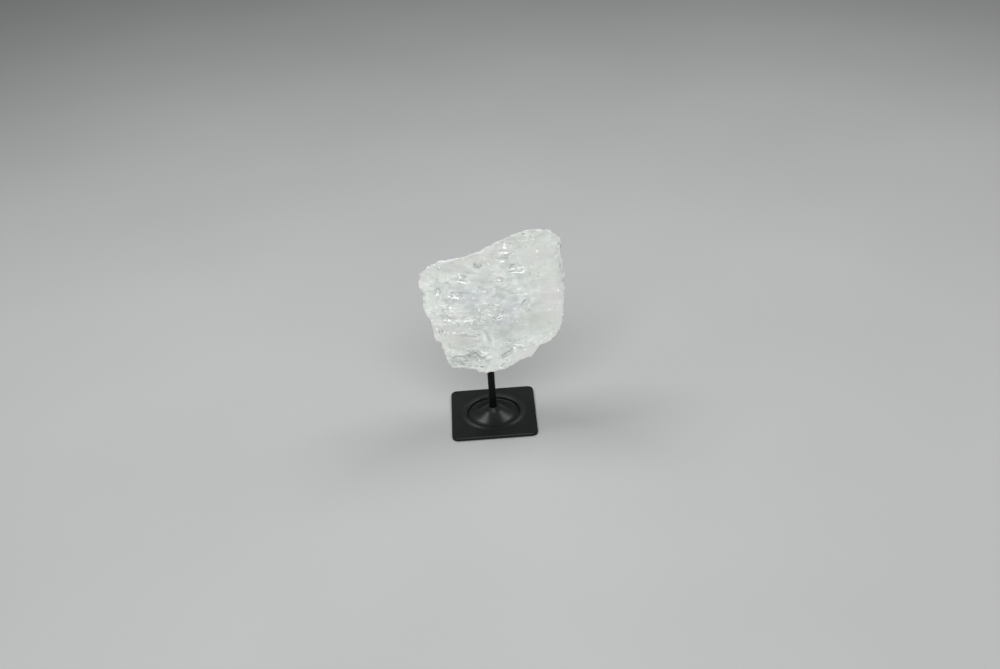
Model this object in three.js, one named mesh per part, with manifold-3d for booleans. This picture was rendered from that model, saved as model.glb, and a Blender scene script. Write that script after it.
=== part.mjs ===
// A rough lemurian quartz crystal on a black display stand.
// Millimetres, +Z up. The origin is the middle of the base plate's underside.
// The crystal's broad, stepped face looks along -Y and leans back a little.
import * as THREE from 'three';
import { mergeVertices } from 'three/addons/utils/BufferGeometryUtils.js';
import Module from 'manifold-3d';

const wasm = await Module();
wasm.setup();

// ---------------------------------------------------------------- driving dimensions

const PLATE_WIDTH = 76.2;
const PLATE_THICKNESS = 3.2;
const PLATE_CORNER = 5.5;
const PLATE_BEVEL = 0.7;
const CONE_TOP = { radius: 4.7, rise: 6.9 };
const ROUND_SIDES = 48;

// A flared cone stands in a round groove with a raised lip: [radius, height above the plate's
// top], from the cone's top down to the groove, up the lip's steep inner wall and out to its foot.
const CONE_FLARE = [[CONE_TOP.radius, CONE_TOP.rise], [8, 4], [12, 1.4], [15.5, -0.6]];
const GROOVE = [[17.6, -1.5], [19.4, -1.95], [22.4, -2.1]];
const LIP_WALL = [[22.9, -1.7], [23.3, 0], [23.9, 1.2]];
const LIP_CREST = { radius: 24.7, rise: 1.6 };
const LIP_SLOPE = [[25.8, 1.35], [27, 0.75], [28.2, 0.2], [29.4, -0.1]];
const GROOVE_FLOOR_CUT = 0.8;

const ROD_DIAMETER = 6.35;
const ROD_SOCKET_DEPTH = 6;
const ROD_TOP = 76;
const FIT_GAP = 0.3;

const FACE_LEAN = THREE.MathUtils.degToRad(12);
const FACE_FOOT = new THREE.Vector3(0, -23, 60.2);
const CRYSTAL_DEPTH = 50;
const CLEAR = 30;

// The broad face's outline, anticlockwise from its lowest lump, as [across, up the face].
const FACE_OUTLINE = [
  [-8.4, 0.4], [-2.4, -0.3], [5.5, 0.8], [13.5, 2.4], [20.6, 5.6], [30, 10], [37, 11.2],
  [41.9, 19], [46.8, 21.5], [53.4, 24.8], [58.8, 29.6], [62.3, 34.6], [65, 41.5],
  [66.2, 53.7], [68, 66], [69, 77], [68.6, 87], [67.2, 97], [66, 106], [67.6, 111.5],
  [65.8, 115.6], [63.2, 118.8], [58.4, 123.5], [53.4, 124.8], [43.5, 125.2], [33.3, 123.6],
  [23.1, 120.3], [12.8, 116], [2.4, 111.5], [-8, 107.1], [-18.3, 104.8], [-28.5, 103.6],
  [-36.1, 103.2], [-39.6, 101], [-43, 101.5], [-46.5, 98.9], [-48.4, 96.8], [-50.1, 97],
  [-54.8, 94.4], [-56.8, 90], [-56.5, 84.5], [-55.8, 78.6], [-53.9, 76], [-52.9, 71.5],
  [-53.6, 63], [-51.8, 55.5], [-47.5, 48.5], [-46.9, 41.5], [-46.2, 32.4], [-41.4, 30.2],
  [-40.8, 28.6], [-39.4, 22.5], [-37.6, 16.3], [-35.6, 9.2], [-31.6, 6.2], [-21.1, 4.8],
  [-13, 3.2],
];
const FACE_MIDDLE = new THREE.Vector2(8, 62);
const FACE_SPAN = { left: -62, right: 78, bottom: -8, top: 134 };

// The broad face sags towards its edges, and swells and hollows lie across it.
const FACE_CROWN = 0.0011;
const SWELLS = [
  { x: 14, y: 36.5, width: 13, height: 11, rise: -2.4 },
  { x: 43, y: 72.5, width: 20, height: 26, rise: 1.6 },
  { x: 47, y: 28.5, width: 14, height: 9, rise: 1.4 },
];
const FACE_WAVES = { wide: 17, high: 11, rise: 0.5 };
const FACE_GRAIN = { wide: 7, high: 5, rise: 0.3 };

// The flanks narrow towards the back: how deep behind the face, how much of the outline is
// left, and how far the crest has sunk.
const FLANK_RINGS = [
  { behind: CRYSTAL_DEPTH + CLEAR, share: 0.7, sunk: 9 },
  { behind: 48, share: 0.8, sunk: 9 },
  { behind: 38, share: 0.87, sunk: 9 },
  { behind: 28, share: 0.93, sunk: 9 },
  { behind: 19, share: 0.97, sunk: 8 },
  { behind: 10, share: 0.99, sunk: 5.2 },
  { behind: 1, share: 1, sunk: 0.3 },
  { behind: -CLEAR, share: 1, sunk: 0 },
];
const FLANK_ROUGHNESS = 1.3;
const CREST_FROM = 78;
const CREST_FULL = 98;

// Growth ledges across the broad face, named by their height where they cross its middle line.
// The part below each ledge stands out by `step`.
const LEDGES = [
  { up: 10.1, from: -35, to: -15, step: 1 },
  { up: 17.3, from: -38, to: -20, step: 1.1 },
  { up: 28.6, from: 13, to: 41, step: 0.5 },
  { up: 36, from: -25, to: -4, step: 0.6 },
  { up: 47, from: -46, to: -2, step: 0.6 },
  { up: 52.6, from: 0, to: 21, step: 0.6 },
  { up: 58.6, from: -30, to: -8, step: 0.5 },
  { up: 64.6, from: 8, to: 32, step: 0.3 },
  { up: 68, from: -31, to: -22, step: 1.1 },
  { up: 73.8, from: -38, to: -12, step: 0.3 },
  { up: 81.6, from: -23, to: -14, step: 1.2 },
  { up: 87.1, from: -30, to: -12, step: 0.3 },
  { up: 91, from: 21, to: 34, step: 1.4 },
  { up: 100.2, from: 14, to: 19, step: 1 },
  { up: 107, from: 16.5, to: 22.5, step: 1 },
];
const LEDGE_REACH = 9;
const LEDGE_FADE = 4;
const LEDGE_SLOPE = -0.07;
const LEDGE_WANDER = { length: 16, reach: 0.7 };
const LEDGE_RISER = 0.3;
const FACE_CELL = 4.6;

// Blocky chips out of the broad face: place, width, height and depth, with turn and pitch in degrees.
const CHIPS = [
  { x: -14, y: 15.8, width: 9, height: 6.5, depth: 2.1, turn: 10, pitch: 12 },
  { x: -9.5, y: 12.5, width: 6, height: 5, depth: 1.8, turn: -24, pitch: 20 },
  { x: -26, y: 13, width: 15, height: 7, depth: 1.3, turn: -4, pitch: 4 },
  { x: -21, y: 29.5, width: 26, height: 13, depth: 0.55, turn: -5, pitch: 2 },
  { x: -1.5, y: 13, width: 7, height: 6, depth: 0.8, turn: -20, pitch: 18 },
  { x: 9, y: 49.3, width: 12, height: 3.5, depth: 1.1, turn: 14, pitch: 12 },
  { x: 33, y: 59.5, width: 9, height: 8, depth: 1.1, turn: 42, pitch: 5 },
  { x: -25.5, y: 72.1, width: 12, height: 5, depth: 1.2, turn: -4, pitch: 8 },
  { x: -40, y: 75.5, width: 6, height: 7, depth: 1.2, turn: 16, pitch: 8 },
  { x: -18.5, y: 86, width: 7, height: 6, depth: 1.7, turn: -12, pitch: 10 },
  { x: 13, y: 83.2, width: 8, height: 4, depth: 1.1, turn: -14, pitch: 12 },
  { x: 28, y: 92, width: 13, height: 6.5, depth: 1.8, turn: -10, pitch: 14 },
  { x: -4.7, y: 95.5, width: 6, height: 4.5, depth: 1.5, turn: -22, pitch: 12 },
  { x: 19, y: 102.5, width: 7, height: 4, depth: 1.4, turn: 4, pitch: 10 },
];
const CHIP_JAG = 0.15;
const CHIP_FLOOR_SHARE = 0.85;
const CHIP_MOUTH = { out: 15, share: 1.6 };
const CHIP_CORNERS = [[-1, -0.7], [0.1, -1], [1, -0.6], [0.9, 0.8], [-0.2, 1], [-1, 0.7]];

// Long notches under an overhanging lip: from and to across the face, width and depth.
const NOTCHES = [
  { from: [35, 20.5], to: [18, 23.2], width: 4, depth: 1.5 },
  { from: [24, 21], to: [5, 11.5], width: 4.6, depth: 1.9 },
  { from: [-11, 8.3], to: [-36, 10.2], width: 4.5, depth: 1.5 },
];
const NOTCH_RINGS = [[0, 0.1], [0.2, 0.7], [0.5, 1], [0.8, 0.75], [1, 0.1]];
const NOTCH_CLEAR = 4;
const NOTCH_SECTION = { undercut: 0.1, lowerLip: 0.3 };

// Breaks that trim the crystal: a point on each, the way it faces, its hollow and its roughness.
const BREAKS = [
  { at: [0, 115.4, -2.5], facing: [-0.235, 0.84, -0.48], bowl: 1.5, rough: 0.6 },
  { at: [0, 99, -26], facing: [-0.14, 0.46, -0.88], bowl: 3, rough: 1.3 },
  { at: [61, 123.8, -2], facing: [0.42, 0.66, -0.6], bowl: 1.2, rough: 0.8 },
  { at: [-50, 99.5, -7.5], facing: [-0.5, 0.5, -0.7], bowl: 1, rough: 0.8 },
  { at: [-43.5, 72, -0.6], facing: [-0.48, 0.04, 0.88], bowl: 0.5, rough: 0.4 },
  { at: [65, 100, -0.5], facing: [0.85, 0.02, 0.53], bowl: 0.4, rough: 0.5 },
  { at: [8, 60, -47], facing: [0.04, 0.06, -1], bowl: 2.5, rough: 1.4 },
  { at: [-42, 60, -25], facing: [-0.68, 0.05, -0.73], bowl: 2, rough: 1.4 },
  { at: [57, 70, -26], facing: [0.66, -0.05, -0.75], bowl: 2, rough: 1.4 },
  { at: [0, 7, -34], facing: [0.05, -0.8, -0.6], bowl: 1.5, rough: 1.2 },
  { at: [-34, 14, -22], facing: [-0.5, -0.6, -0.62], bowl: 1, rough: 1 },
];
const BREAK_CELL = 6;
const BREAK_SPAN = 132;
const BOWL_RADIUS = 45;
const BOWL_SINK = 0.4;
const RIPPLE = { centre: [30, -20], spacing: 4, share: 0.25 };
const BREAK_LUMPS = { wide: 15, fine: 6, fineShare: 0.5 };
const SLANT = new THREE.Vector3(0.1, 0.8, 0.6);

// ---------------------------------------------------------------- solids

// A closed geometry as a solid that can be cut and joined.
function solidFrom(geometry) {
  const bare = geometry.clone();
  bare.deleteAttribute('normal');
  bare.deleteAttribute('uv');
  const welded = mergeVertices(bare, 1e-4);
  const vertProperties = new Float32Array(welded.attributes.position.array);
  const triVerts = new Uint32Array(welded.index.array);
  return new wasm.Manifold(new wasm.Mesh({ numProp: 3, vertProperties, triVerts }));
}

// A solid back as a geometry for a mesh.
function geometryFrom(solid) {
  const { vertProperties, triVerts } = solid.getMesh();
  const geometry = new THREE.BufferGeometry();
  geometry.setAttribute('position', new THREE.BufferAttribute(new Float32Array(vertProperties), 3));
  geometry.setIndex(new THREE.BufferAttribute(new Uint32Array(triVerts), 1));
  geometry.computeVertexNormals();
  return geometry;
}

function indexedGeometry(points, index) {
  const geometry = new THREE.BufferGeometry();
  const numbers = points.flatMap((p) => [p.x, p.y, p.z]);
  geometry.setAttribute('position', new THREE.Float32BufferAttribute(numbers, 3));
  geometry.setIndex(index);
  return geometry;
}

// An upright round bar between two heights.
function uprightBar(radius, bottom, top) {
  const geometry = new THREE.CylinderGeometry(radius, radius, top - bottom, ROUND_SIDES / 2);
  geometry.rotateX(Math.PI / 2);
  geometry.translate(0, 0, (top + bottom) / 2);
  return geometry;
}

// A solid turned about the Z axis from [radius, height] points that start and end on the axis.
function turned(profile) {
  const points = profile.map(([radius, height]) => new THREE.Vector2(radius, height));
  const geometry = new THREE.LatheGeometry(points, ROUND_SIDES);
  geometry.rotateX(Math.PI / 2);
  return solidFrom(geometry);
}

// Triangles that close a ring whose corners all bulge outwards.
function fanCap(ring) {
  return ring.slice(2).map((_, k) => [0, k + 1, k + 2]);
}

// Triangles that close a level ring of any outline.
function outlineCap(ring) {
  return THREE.ShapeUtils.triangulateShape(ring.map((p) => new THREE.Vector2(p.x, p.y)), []);
}

// A closed skin through rings of points that run anticlockwise seen from the last ring's side.
function skinThrough(rings, capOf = fanCap) {
  const count = rings[0].length;
  const last = (rings.length - 1) * count;
  const index = [];
  for (let k = 0; k + 1 < rings.length; k += 1) {
    for (let i = 0; i < count; i += 1) {
      const a = k * count + i;
      const b = k * count + ((i + 1) % count);
      index.push(a, b, b + count, a, b + count, a + count);
    }
  }
  for (const [a, b, c] of capOf(rings[0])) {
    index.push(a, c, b, last + a, last + b, last + c);
  }
  return indexedGeometry(rings.flat(), index);
}

// A closed block under an uneven sheet of points, sheet[row][column], down to z = -reach.
function blockUnder(sheet, reach) {
  const rows = sheet.length;
  const columns = sheet[0].length;
  const top = sheet.flat();
  const floor = top.map((p) => new THREE.Vector3(p.x, p.y, -reach));
  const at = (row, column) => row * columns + column;
  const index = [];
  for (let row = 0; row + 1 < rows; row += 1) {
    for (let column = 0; column + 1 < columns; column += 1) {
      const a = at(row, column);
      const b = at(row, column + 1);
      const c = at(row + 1, column + 1);
      const d = at(row + 1, column);
      const crossed = (row + column) % 2 === 0 ? [a, b, c, a, c, d] : [a, b, d, b, c, d];
      index.push(...crossed);
      index.push(...[a, c, b, a, d, c].map((v) => v + top.length));
    }
  }
  const border = [];
  for (let column = 0; column + 1 < columns; column += 1) border.push(at(0, column));
  for (let row = 0; row + 1 < rows; row += 1) border.push(at(row, columns - 1));
  for (let column = columns - 1; column > 0; column -= 1) border.push(at(rows - 1, column));
  for (let row = rows - 1; row > 0; row -= 1) border.push(at(row, 0));
  border.forEach((a, k) => {
    const b = border[(k + 1) % border.length];
    index.push(b, a, a + top.length, b, a + top.length, b + top.length);
  });
  return indexedGeometry([...top, ...floor], index);
}

// ---------------------------------------------------------------- natural unevenness

// A repeatable value between -1 and 1 for each whole-numbered cell.
function scatter(i, j, seed) {
  const wave = Math.sin(i * 127.1 + j * 311.7 + seed * 74.7) * 43758.5453;
  return 2 * (wave - Math.floor(wave)) - 1;
}

// Smooth unevenness between -1 and 1, with lumps one unit apart.
function uneven(x, y, seed) {
  const i = Math.floor(x);
  const j = Math.floor(y);
  const s = THREE.MathUtils.smoothstep(x - i, 0, 1);
  const t = THREE.MathUtils.smoothstep(y - j, 0, 1);
  const near = THREE.MathUtils.lerp(scatter(i, j, seed), scatter(i + 1, j, seed), s);
  const far = THREE.MathUtils.lerp(scatter(i, j + 1, seed), scatter(i + 1, j + 1, seed), s);
  return THREE.MathUtils.lerp(near, far, t);
}

// Evenly spaced numbers from low to high, at most `step` apart.
function spaced(low, high, step) {
  const count = Math.ceil((high - low) / step);
  return Array.from({ length: count + 1 }, (_, k) => low + ((high - low) * k) / count);
}

// 1 well inside from..to, easing to 0 over `fade` outside each end.
function within(value, from, to, fade) {
  const { smoothstep } = THREE.MathUtils;
  return smoothstep(value, from - fade, from) * (1 - smoothstep(value, to, to + fade));
}

// The height of a round swell at a point.
function swell(x, y, { x: middle, y: level, width, height, rise }) {
  return rise * Math.exp(-(((x - middle) / width) ** 2) - ((y - level) / height) ** 2);
}

// ---------------------------------------------------------------- base plate and rod

function basePlate() {
  const half = PLATE_WIDTH / 2 - PLATE_BEVEL;
  const corner = PLATE_CORNER - PLATE_BEVEL;
  const reach = half - corner;
  const square = new THREE.Shape();
  square.absarc(reach, -reach, corner, -Math.PI / 2, 0);
  square.absarc(reach, reach, corner, 0, Math.PI / 2);
  square.absarc(-reach, reach, corner, Math.PI / 2, Math.PI);
  square.absarc(-reach, -reach, corner, Math.PI, 1.5 * Math.PI);
  const slab = new THREE.ExtrudeGeometry(square, {
    depth: PLATE_THICKNESS - 2 * PLATE_BEVEL,
    bevelThickness: PLATE_BEVEL,
    bevelSize: PLATE_BEVEL,
    bevelSegments: 3,
    curveSegments: 6,
  });
  slab.translate(0, 0, PLATE_BEVEL);

  const top = PLATE_THICKNESS;
  const crest = [LIP_CREST.radius, LIP_CREST.rise];
  const shaped = [...CONE_FLARE, ...GROOVE, ...LIP_WALL, crest, ...LIP_SLOPE];
  const foot = LIP_SLOPE.at(-1)[0];
  const root = GROOVE_FLOOR_CUT / 2;
  const cone = turned([
    [0, root],
    [foot, root],
    ...shaped.map(([radius, rise]) => [radius, top + rise]).reverse(),
    [0, top + CONE_TOP.rise],
  ]);
  const well = turned([
    [0, GROOVE_FLOOR_CUT],
    [LIP_CREST.radius, GROOVE_FLOOR_CUT],
    [LIP_CREST.radius, top + CLEAR],
    [0, top + CLEAR],
  ]);
  const socketFloor = top + CONE_TOP.rise - ROD_SOCKET_DEPTH;
  const socket = solidFrom(uprightBar(ROD_DIAMETER / 2 + FIT_GAP, socketFloor, top + CLEAR));
  return geometryFrom(solidFrom(slab).subtract(well).add(cone).subtract(socket));
}

function rod() {
  const socketFloor = PLATE_THICKNESS + CONE_TOP.rise - ROD_SOCKET_DEPTH;
  return uprightBar(ROD_DIAMETER / 2, socketFloor + FIT_GAP, ROD_TOP);
}

// ---------------------------------------------------------------- crystal

// The crystal is shaped with its broad face flat: X across, Y up the face, Z out of it.

// The flanks, from the outline at the face to its smaller copy at the back.
function flanks() {
  const rings = FLANK_RINGS.map(({ behind, share, sunk }, level) => {
    const rough = behind > 1 ? FLANK_ROUGHNESS : 0;
    return FACE_OUTLINE.map(([x, y], k) => {
      const arm = new THREE.Vector2(x, y).sub(FACE_MIDDLE);
      const wobble = (rough * scatter(k, level, 5)) / arm.length();
      const sink = sunk * THREE.MathUtils.smoothstep(y, CREST_FROM, CREST_FULL);
      arm.multiplyScalar(share * (1 + wobble)).add(FACE_MIDDLE);
      return new THREE.Vector3(arm.x, arm.y - sink, -behind);
    });
  });
  return solidFrom(skinThrough(rings, outlineCap));
}

// How far a ledge lifts or lowers the face at a point.
function ledgeRelief(x, y, { up, from, to, step }) {
  const above = y - up;
  const fading = Math.max(0, 1 - Math.abs(above) / LEDGE_REACH);
  return -Math.sign(above) * (step / 2) * fading * within(x, from, to, LEDGE_FADE);
}

// The broad face's relief, with y measured along the growth lines.
function faceRelief(x, y) {
  const crown = -FACE_CROWN * (x - FACE_MIDDLE.x) ** 2;
  const swells = SWELLS.reduce((sum, one) => sum + swell(x, y, one), 0);
  const waves = FACE_WAVES.rise * uneven(x / FACE_WAVES.wide, y / FACE_WAVES.high, 1);
  const grain = FACE_GRAIN.rise * uneven(x / FACE_GRAIN.wide, y / FACE_GRAIN.high, 2);
  const steps = LEDGES.reduce((sum, ledge) => sum + ledgeRelief(x, y, ledge), 0);
  return crown + swells + waves + grain + steps;
}

// Everything behind the broad face. Its rows follow the growth lines, in pairs at each ledge.
function behindFace() {
  const { left, right, bottom, top } = FACE_SPAN;
  const edges = LEDGES.flatMap(({ up }) => [up - LEDGE_RISER, up + LEDGE_RISER]);
  const stops = [-CLEAR, bottom, ...edges.sort((a, b) => a - b), top, top + CLEAR];
  const rows = stops.slice(1).flatMap((high, k) => spaced(stops[k], high, FACE_CELL).slice(1));
  const columns = [left - CLEAR, ...spaced(left, right, FACE_CELL), right + CLEAR];
  const sheet = rows.map((y) => columns.map((x) => {
    const wander = LEDGE_WANDER.reach * uneven(x / LEDGE_WANDER.length, 0, 8);
    return new THREE.Vector3(x, y + LEDGE_SLOPE * x + wander, faceRelief(x, y));
  }));
  return solidFrom(blockUnder(sheet, CRYSTAL_DEPTH + 2 * CLEAR));
}

// Everything on the inner side of a break.
function insideBreak({ at, facing, bowl, rough }, seed) {
  const places = spaced(-BREAK_SPAN, BREAK_SPAN, BREAK_CELL);
  const sheet = places.map((y) => places.map((x) => {
    const away = Math.hypot(x, y);
    const hollow = bowl * (Math.min(1, away / BOWL_RADIUS) ** 2 - BOWL_SINK);
    const ring = Math.hypot(x - RIPPLE.centre[0], y - RIPPLE.centre[1]) / RIPPLE.spacing;
    const ripple = RIPPLE.share * bowl * Math.sin(ring);
    const lumps = uneven(x / BREAK_LUMPS.wide, y / BREAK_LUMPS.wide, seed);
    const fine = BREAK_LUMPS.fineShare * uneven(x / BREAK_LUMPS.fine, y / BREAK_LUMPS.fine, seed + 40);
    const fade = 1 - Math.min(1, away / BREAK_SPAN);
    return new THREE.Vector3(x, y, hollow + (ripple + rough * (lumps + fine)) * fade);
  }));
  const outward = new THREE.Vector3(...facing).normalize();
  const across = new THREE.Vector3().crossVectors(SLANT, outward).normalize();
  const upward = new THREE.Vector3().crossVectors(outward, across);
  const place = new THREE.Matrix4().makeBasis(across, upward, outward).setPosition(...at);
  return solidFrom(blockUnder(sheet, 2 * BREAK_SPAN).applyMatrix4(place));
}

// The height of the face at a point, with y measured square to the face's foot.
function faceHeight(x, y) {
  return faceRelief(x, y - LEDGE_SLOPE * x);
}

// The block that a chip takes out of the face: an uneven six-sided stub, narrower inside.
function chip({ x, y, width, height, depth, turn, pitch }, seed) {
  const ring = (z, share) => CHIP_CORNERS.map(([side, rise], k) => {
    const jag = share * (1 + CHIP_JAG * scatter(k, seed, 3));
    return new THREE.Vector3((side * jag * width) / 2, (rise * jag * height) / 2, z);
  });
  const stub = skinThrough([ring(-depth, CHIP_FLOOR_SHARE), ring(CHIP_MOUTH.out, CHIP_MOUTH.share)]);
  stub.rotateX(THREE.MathUtils.degToRad(pitch));
  stub.rotateZ(THREE.MathUtils.degToRad(turn));
  stub.translate(x, y, faceHeight(x, y));
  return solidFrom(stub);
}

// The wedge that a notch takes out as it runs leftwards: deepest under its upper lip, and
// running out below and at both ends.
function notch({ from, to, width, depth }) {
  const start = new THREE.Vector2(...from);
  const run = new THREE.Vector2(...to).sub(start);
  const down = new THREE.Vector2(-run.y, run.x).normalize();
  const { undercut, lowerLip } = NOTCH_SECTION;
  const section = [[0, NOTCH_CLEAR], [-undercut * width, -depth], [width, lowerLip], [width, NOTCH_CLEAR]];
  const rings = NOTCH_RINGS.map(([along, share]) => {
    const spot = start.clone().addScaledVector(run, along);
    const surface = faceHeight(spot.x, spot.y);
    return section.map(([fall, out]) => {
      const place = spot.clone().addScaledVector(down, fall * share);
      return new THREE.Vector3(place.x, place.y, surface + out * share);
    });
  });
  return solidFrom(skinThrough(rings));
}

function crystal() {
  let stone = flanks().intersect(behindFace());
  BREAKS.forEach((one, k) => {
    stone = stone.intersect(insideBreak(one, 11 + k));
  });
  [...CHIPS.map(chip), ...NOTCHES.map(notch)].forEach((cutter) => {
    stone = stone.subtract(cutter);
  });
  const lean = new THREE.Matrix4().makeRotationX(Math.PI / 2 - FACE_LEAN).setPosition(FACE_FOOT);
  const standing = solidFrom(geometryFrom(stone).applyMatrix4(lean));
  const bore = solidFrom(uprightBar(ROD_DIAMETER / 2 + FIT_GAP, 0, ROD_TOP + FIT_GAP));
  return geometryFrom(standing.subtract(bore));
}

// ---------------------------------------------------------------- the object

const blackSteel = { color: 0x1b1f20, roughness: 0.35, metalness: 0.6 };
const quartz = { color: 0xe4e8e4, roughness: 0.4, metalness: 0 };

const group = new THREE.Group();
for (const [name, geometry, finish] of [
  ['base_plate', basePlate(), blackSteel],
  ['rod', rod(), blackSteel],
  ['crystal', crystal(), quartz],
]) {
  const mesh = new THREE.Mesh(geometry, new THREE.MeshStandardMaterial(finish));
  mesh.name = name;
  group.add(mesh);
}

export default group;
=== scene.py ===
"""Looks for the lemurian quartz crystal on its black display stand.

Metres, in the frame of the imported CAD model: +Z up, origin in the middle of the
base plate's underside, the crystal's broad face looking along -Y.
"""
import math

import bmesh
import bpy
import numpy as np
from mathutils import Matrix, Vector


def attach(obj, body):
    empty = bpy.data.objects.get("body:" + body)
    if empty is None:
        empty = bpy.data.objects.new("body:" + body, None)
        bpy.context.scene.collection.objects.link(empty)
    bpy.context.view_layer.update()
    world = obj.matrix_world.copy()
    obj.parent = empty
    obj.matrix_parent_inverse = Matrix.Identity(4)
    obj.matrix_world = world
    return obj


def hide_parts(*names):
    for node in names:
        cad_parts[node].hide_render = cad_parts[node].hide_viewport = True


MM = 0.001

# ------------------------------------------------------------------ named values

# The camera, in the photograph's 1000 x 669 frame; angles in degrees.
CAMERA_AT = (0.0, -0.9346, 0.6455)
CAMERA_DOWN = 31.0
CAMERA_TO_RIGHT = 0.642
CAMERA_ROLL = 3.853
LENS, SENSOR = 45.0, 36.0

# The lights: name, direction from what they aim at, distance, size, and power in watts.
LIGHTS = [
    ("key", (-0.02, -0.72, 0.72), 1.7, (1.4, 0.7), 24),
    ("left_back", (-0.46, 0.24, 0.85), 1.3, (0.7, 0.45), 10),
    ("right_back", (0.53, 0.33, 0.78), 1.3, (0.6, 0.45), 7),
]
LIGHT_AIM = (0, 0, 0.1)
WORLD_COLOUR = (1.0, 1.0, 1.0)
WORLD_STRENGTH = 0.25
FLOOR_REACH = 6.0
FLOOR_TONES = [(0.3, (0.325, 0.33, 0.33)), (0.7, (0.345, 0.35, 0.35))]
FLOOR_ROUGHNESS = 0.8

# The stand, in millimetres.
PLATE_WIDTH = 76.2
PLATE_THICKNESS = 3.2
PLATE_CORNER = 5.5
CHAMFER_IN = 0.39
CHAMFER_DOWN = 0.6
CONE_TOP = 10.1
SOCKET_RADIUS = 3.475
SOCKET_FLOOR = 4.1
SOCKET_EASE = 0.2
CAP_RADIUS = 0.6
# The flared cone, its groove and the raised lip, from the socket's mouth outwards: radius, height.
RAISED_PROFILE = [
    (4.7, 10.1), (8.0, 7.2), (12.0, 4.6), (15.5, 2.6), (17.6, 1.7), (19.4, 1.25), (22.4, 1.1),
    (22.9, 1.5), (23.3, 2.9), (23.9, 3.9), (24.8, 4.3), (26.0, 4.1), (27.4, 3.65), (28.8, 3.3),
    (29.8, 3.2), (30.8, 3.2),
]
PROFILE_STEP = 0.3
PROFILE_SOFTEN = 3
# Rings on the flat top, as shares of the way out to the edge.
FLAT_RINGS = (0.25, 0.5, 0.75)
ROUND_SIDES = 192
ROD_RADIUS = 3.175
ROD_BOTTOM = 4.4
ROD_TOP = 76.0
ROD_CHAMFER = 0.6
ROD_RINGS = (15, 30, 45, 60)
ROD_SIDES = 64
METAL_SMOOTH_ANGLE = 30

# The groove's painted shade and its dullness: where they come in and go out by radius, and come in by
# height.
GROOVE_IN = (17.0, 20.0)
GROOVE_OUT = (23.8, 24.6)
GROOVE_UP = (0.75, 1.0)
GROOVE_SHADE_TONE = (0.001, 0.001, 0.001)
GROOVE_SHADE_SHARE = 0.9
GROOVE_ROUGHER = 0.1

# The black metal; a bump's numbers are its strength and its depth in metres.
BLACK_TONES = [(0.35, (0.0022, 0.0035, 0.0035)), (0.65, (0.0045, 0.0062, 0.0065))]
BLACK_ROUGHNESS = (0.31, 0.41)
BLACK_IOR = 1.5
BLACK_BUMP = (0.12, 0.0001)
PLATE_LUMPS, PLATE_GLOSS = 60, 0.27
ROD_LUMPS, ROD_GLOSS = 90, 0.14

# The crystal, in millimetres. Its broad face leans back, and is measured across (u), up (w) and
# out (v).
FACE_LEAN = math.radians(12)
FACE_FOOT = np.array([0.0, -23.0, 60.2])
FACE_ACROSS = np.array([1.0, 0.0, 0.0])
FACE_UP = np.array([0.0, math.sin(FACE_LEAN), math.cos(FACE_LEAN)])
FACE_OUT = np.array([0.0, -math.cos(FACE_LEAN), math.sin(FACE_LEAN)])
VOXEL = 0.69
SOFTEN_FACTOR = 0.5
SOFTEN_ROUNDS = 1
QUARTZ_SMOOTH_ANGLE = 38
LEDGE_SLOPE = -0.07

# Where the broad face and its turned edge begin and are whole, and how far the bore is kept.
FRONT_FACING = (0.35, 0.75)
SKIRT_FACING = (0.05, 0.35)
BORE_KEPT = (4.2, 6.0)
BORE_KEPT_OVER = 3

# Patches with more relief: size, the unevenness where they begin and are whole, seed.
PATCHES = (np.array([24.0, 14.0]), (-0.25, 0.45), 21)
FINE_PATCHES = (np.array([11.0, 7.0]), (-0.1, 0.5), 31)
RIPPLE_PATCHES = (22.0, (0.0, 0.4), 171)
RISER_PATCHES = (np.array([3.4, 2.4]), (-0.9, -0.35), 181)
# Growth lines of two sizes: depth, spacing, seed; then how their strips are drawn and wander.
STEPS = (0.2, 4.6, 3)
FINE_STEPS = (0.14, 1.9, 4)
STRIPS = 160
STRIP_WIDTHS = (0.45, 1.6)
STRIP_HEIGHTS = (0.15, 1.0)
STRIP_START = -20
STRIP_WANDER, STRIP_WANDER_SIZE = 0.8, np.array([16.0, 40.0])
# Flat breaks and grain of the broad face: depth, size and seed.
BLOCKS = (0.4, np.array([6.5, 5.2]), 41)
FINE_BLOCKS = (0.22, np.array([2.7, 2.1]), 61)
GRAIN = (0.07, 2.2, 71)
BLOCKS_OFF_PATCHES = 0.45
# Breaks of the back and the sides, given the same way, and ripples as in broken glass.
BREAKS = (0.75, 9.0, 101)
FINE_BREAKS = (0.35, 3.6, 131)
BREAK_GRAIN = (0.16, 1.8, 161)
RIPPLE_MIDDLE = np.array([14.0, 60.0, 150.0])
RIPPLE_DEPTH, RIPPLE_SPACING = 0.22, 1.5

# Shades: the upper sides of steps, darkened with painted shade, paler and darker facets, and the turned
# edge.
RISER_FACING = (0.16, 0.42)
FACETS = (1.0, np.array([4.4, 3.3]), 241)
FACET_CLOUDS = (0.6, 5.0, 251)
BROAD_FACETS = (0.8, np.array([9.0, 6.0]), 261)
RISER_BLUR, FACET_BLUR, RIM_BLUR = 1, 2, 5
CALM_SHARE = 0.7

# Flakes and pits: how their edges wander and fade, their slant, and their relief. A lean of 1
# tilts a mark to face upwards, and 0 sinks it straight in.
MARK_WANDER, MARK_WANDER_SIZE = (0.35, 0.2), 1.3
MARK_WANDER_SEEDS = (51, 53)
MARK_FADE = (0.5, 1.4)
MARK_SLANT = 0.25
MARK_LEAST = 0.45
MARK_MOST_RISE, MARK_TILT_REACH = 1.1, 1.1
FLAKE_RISE, FLAKE_LEAN = 0.5, 0.85
PIT_DEPTH, PIT_LEAN = 0.5, 0.2

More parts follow.
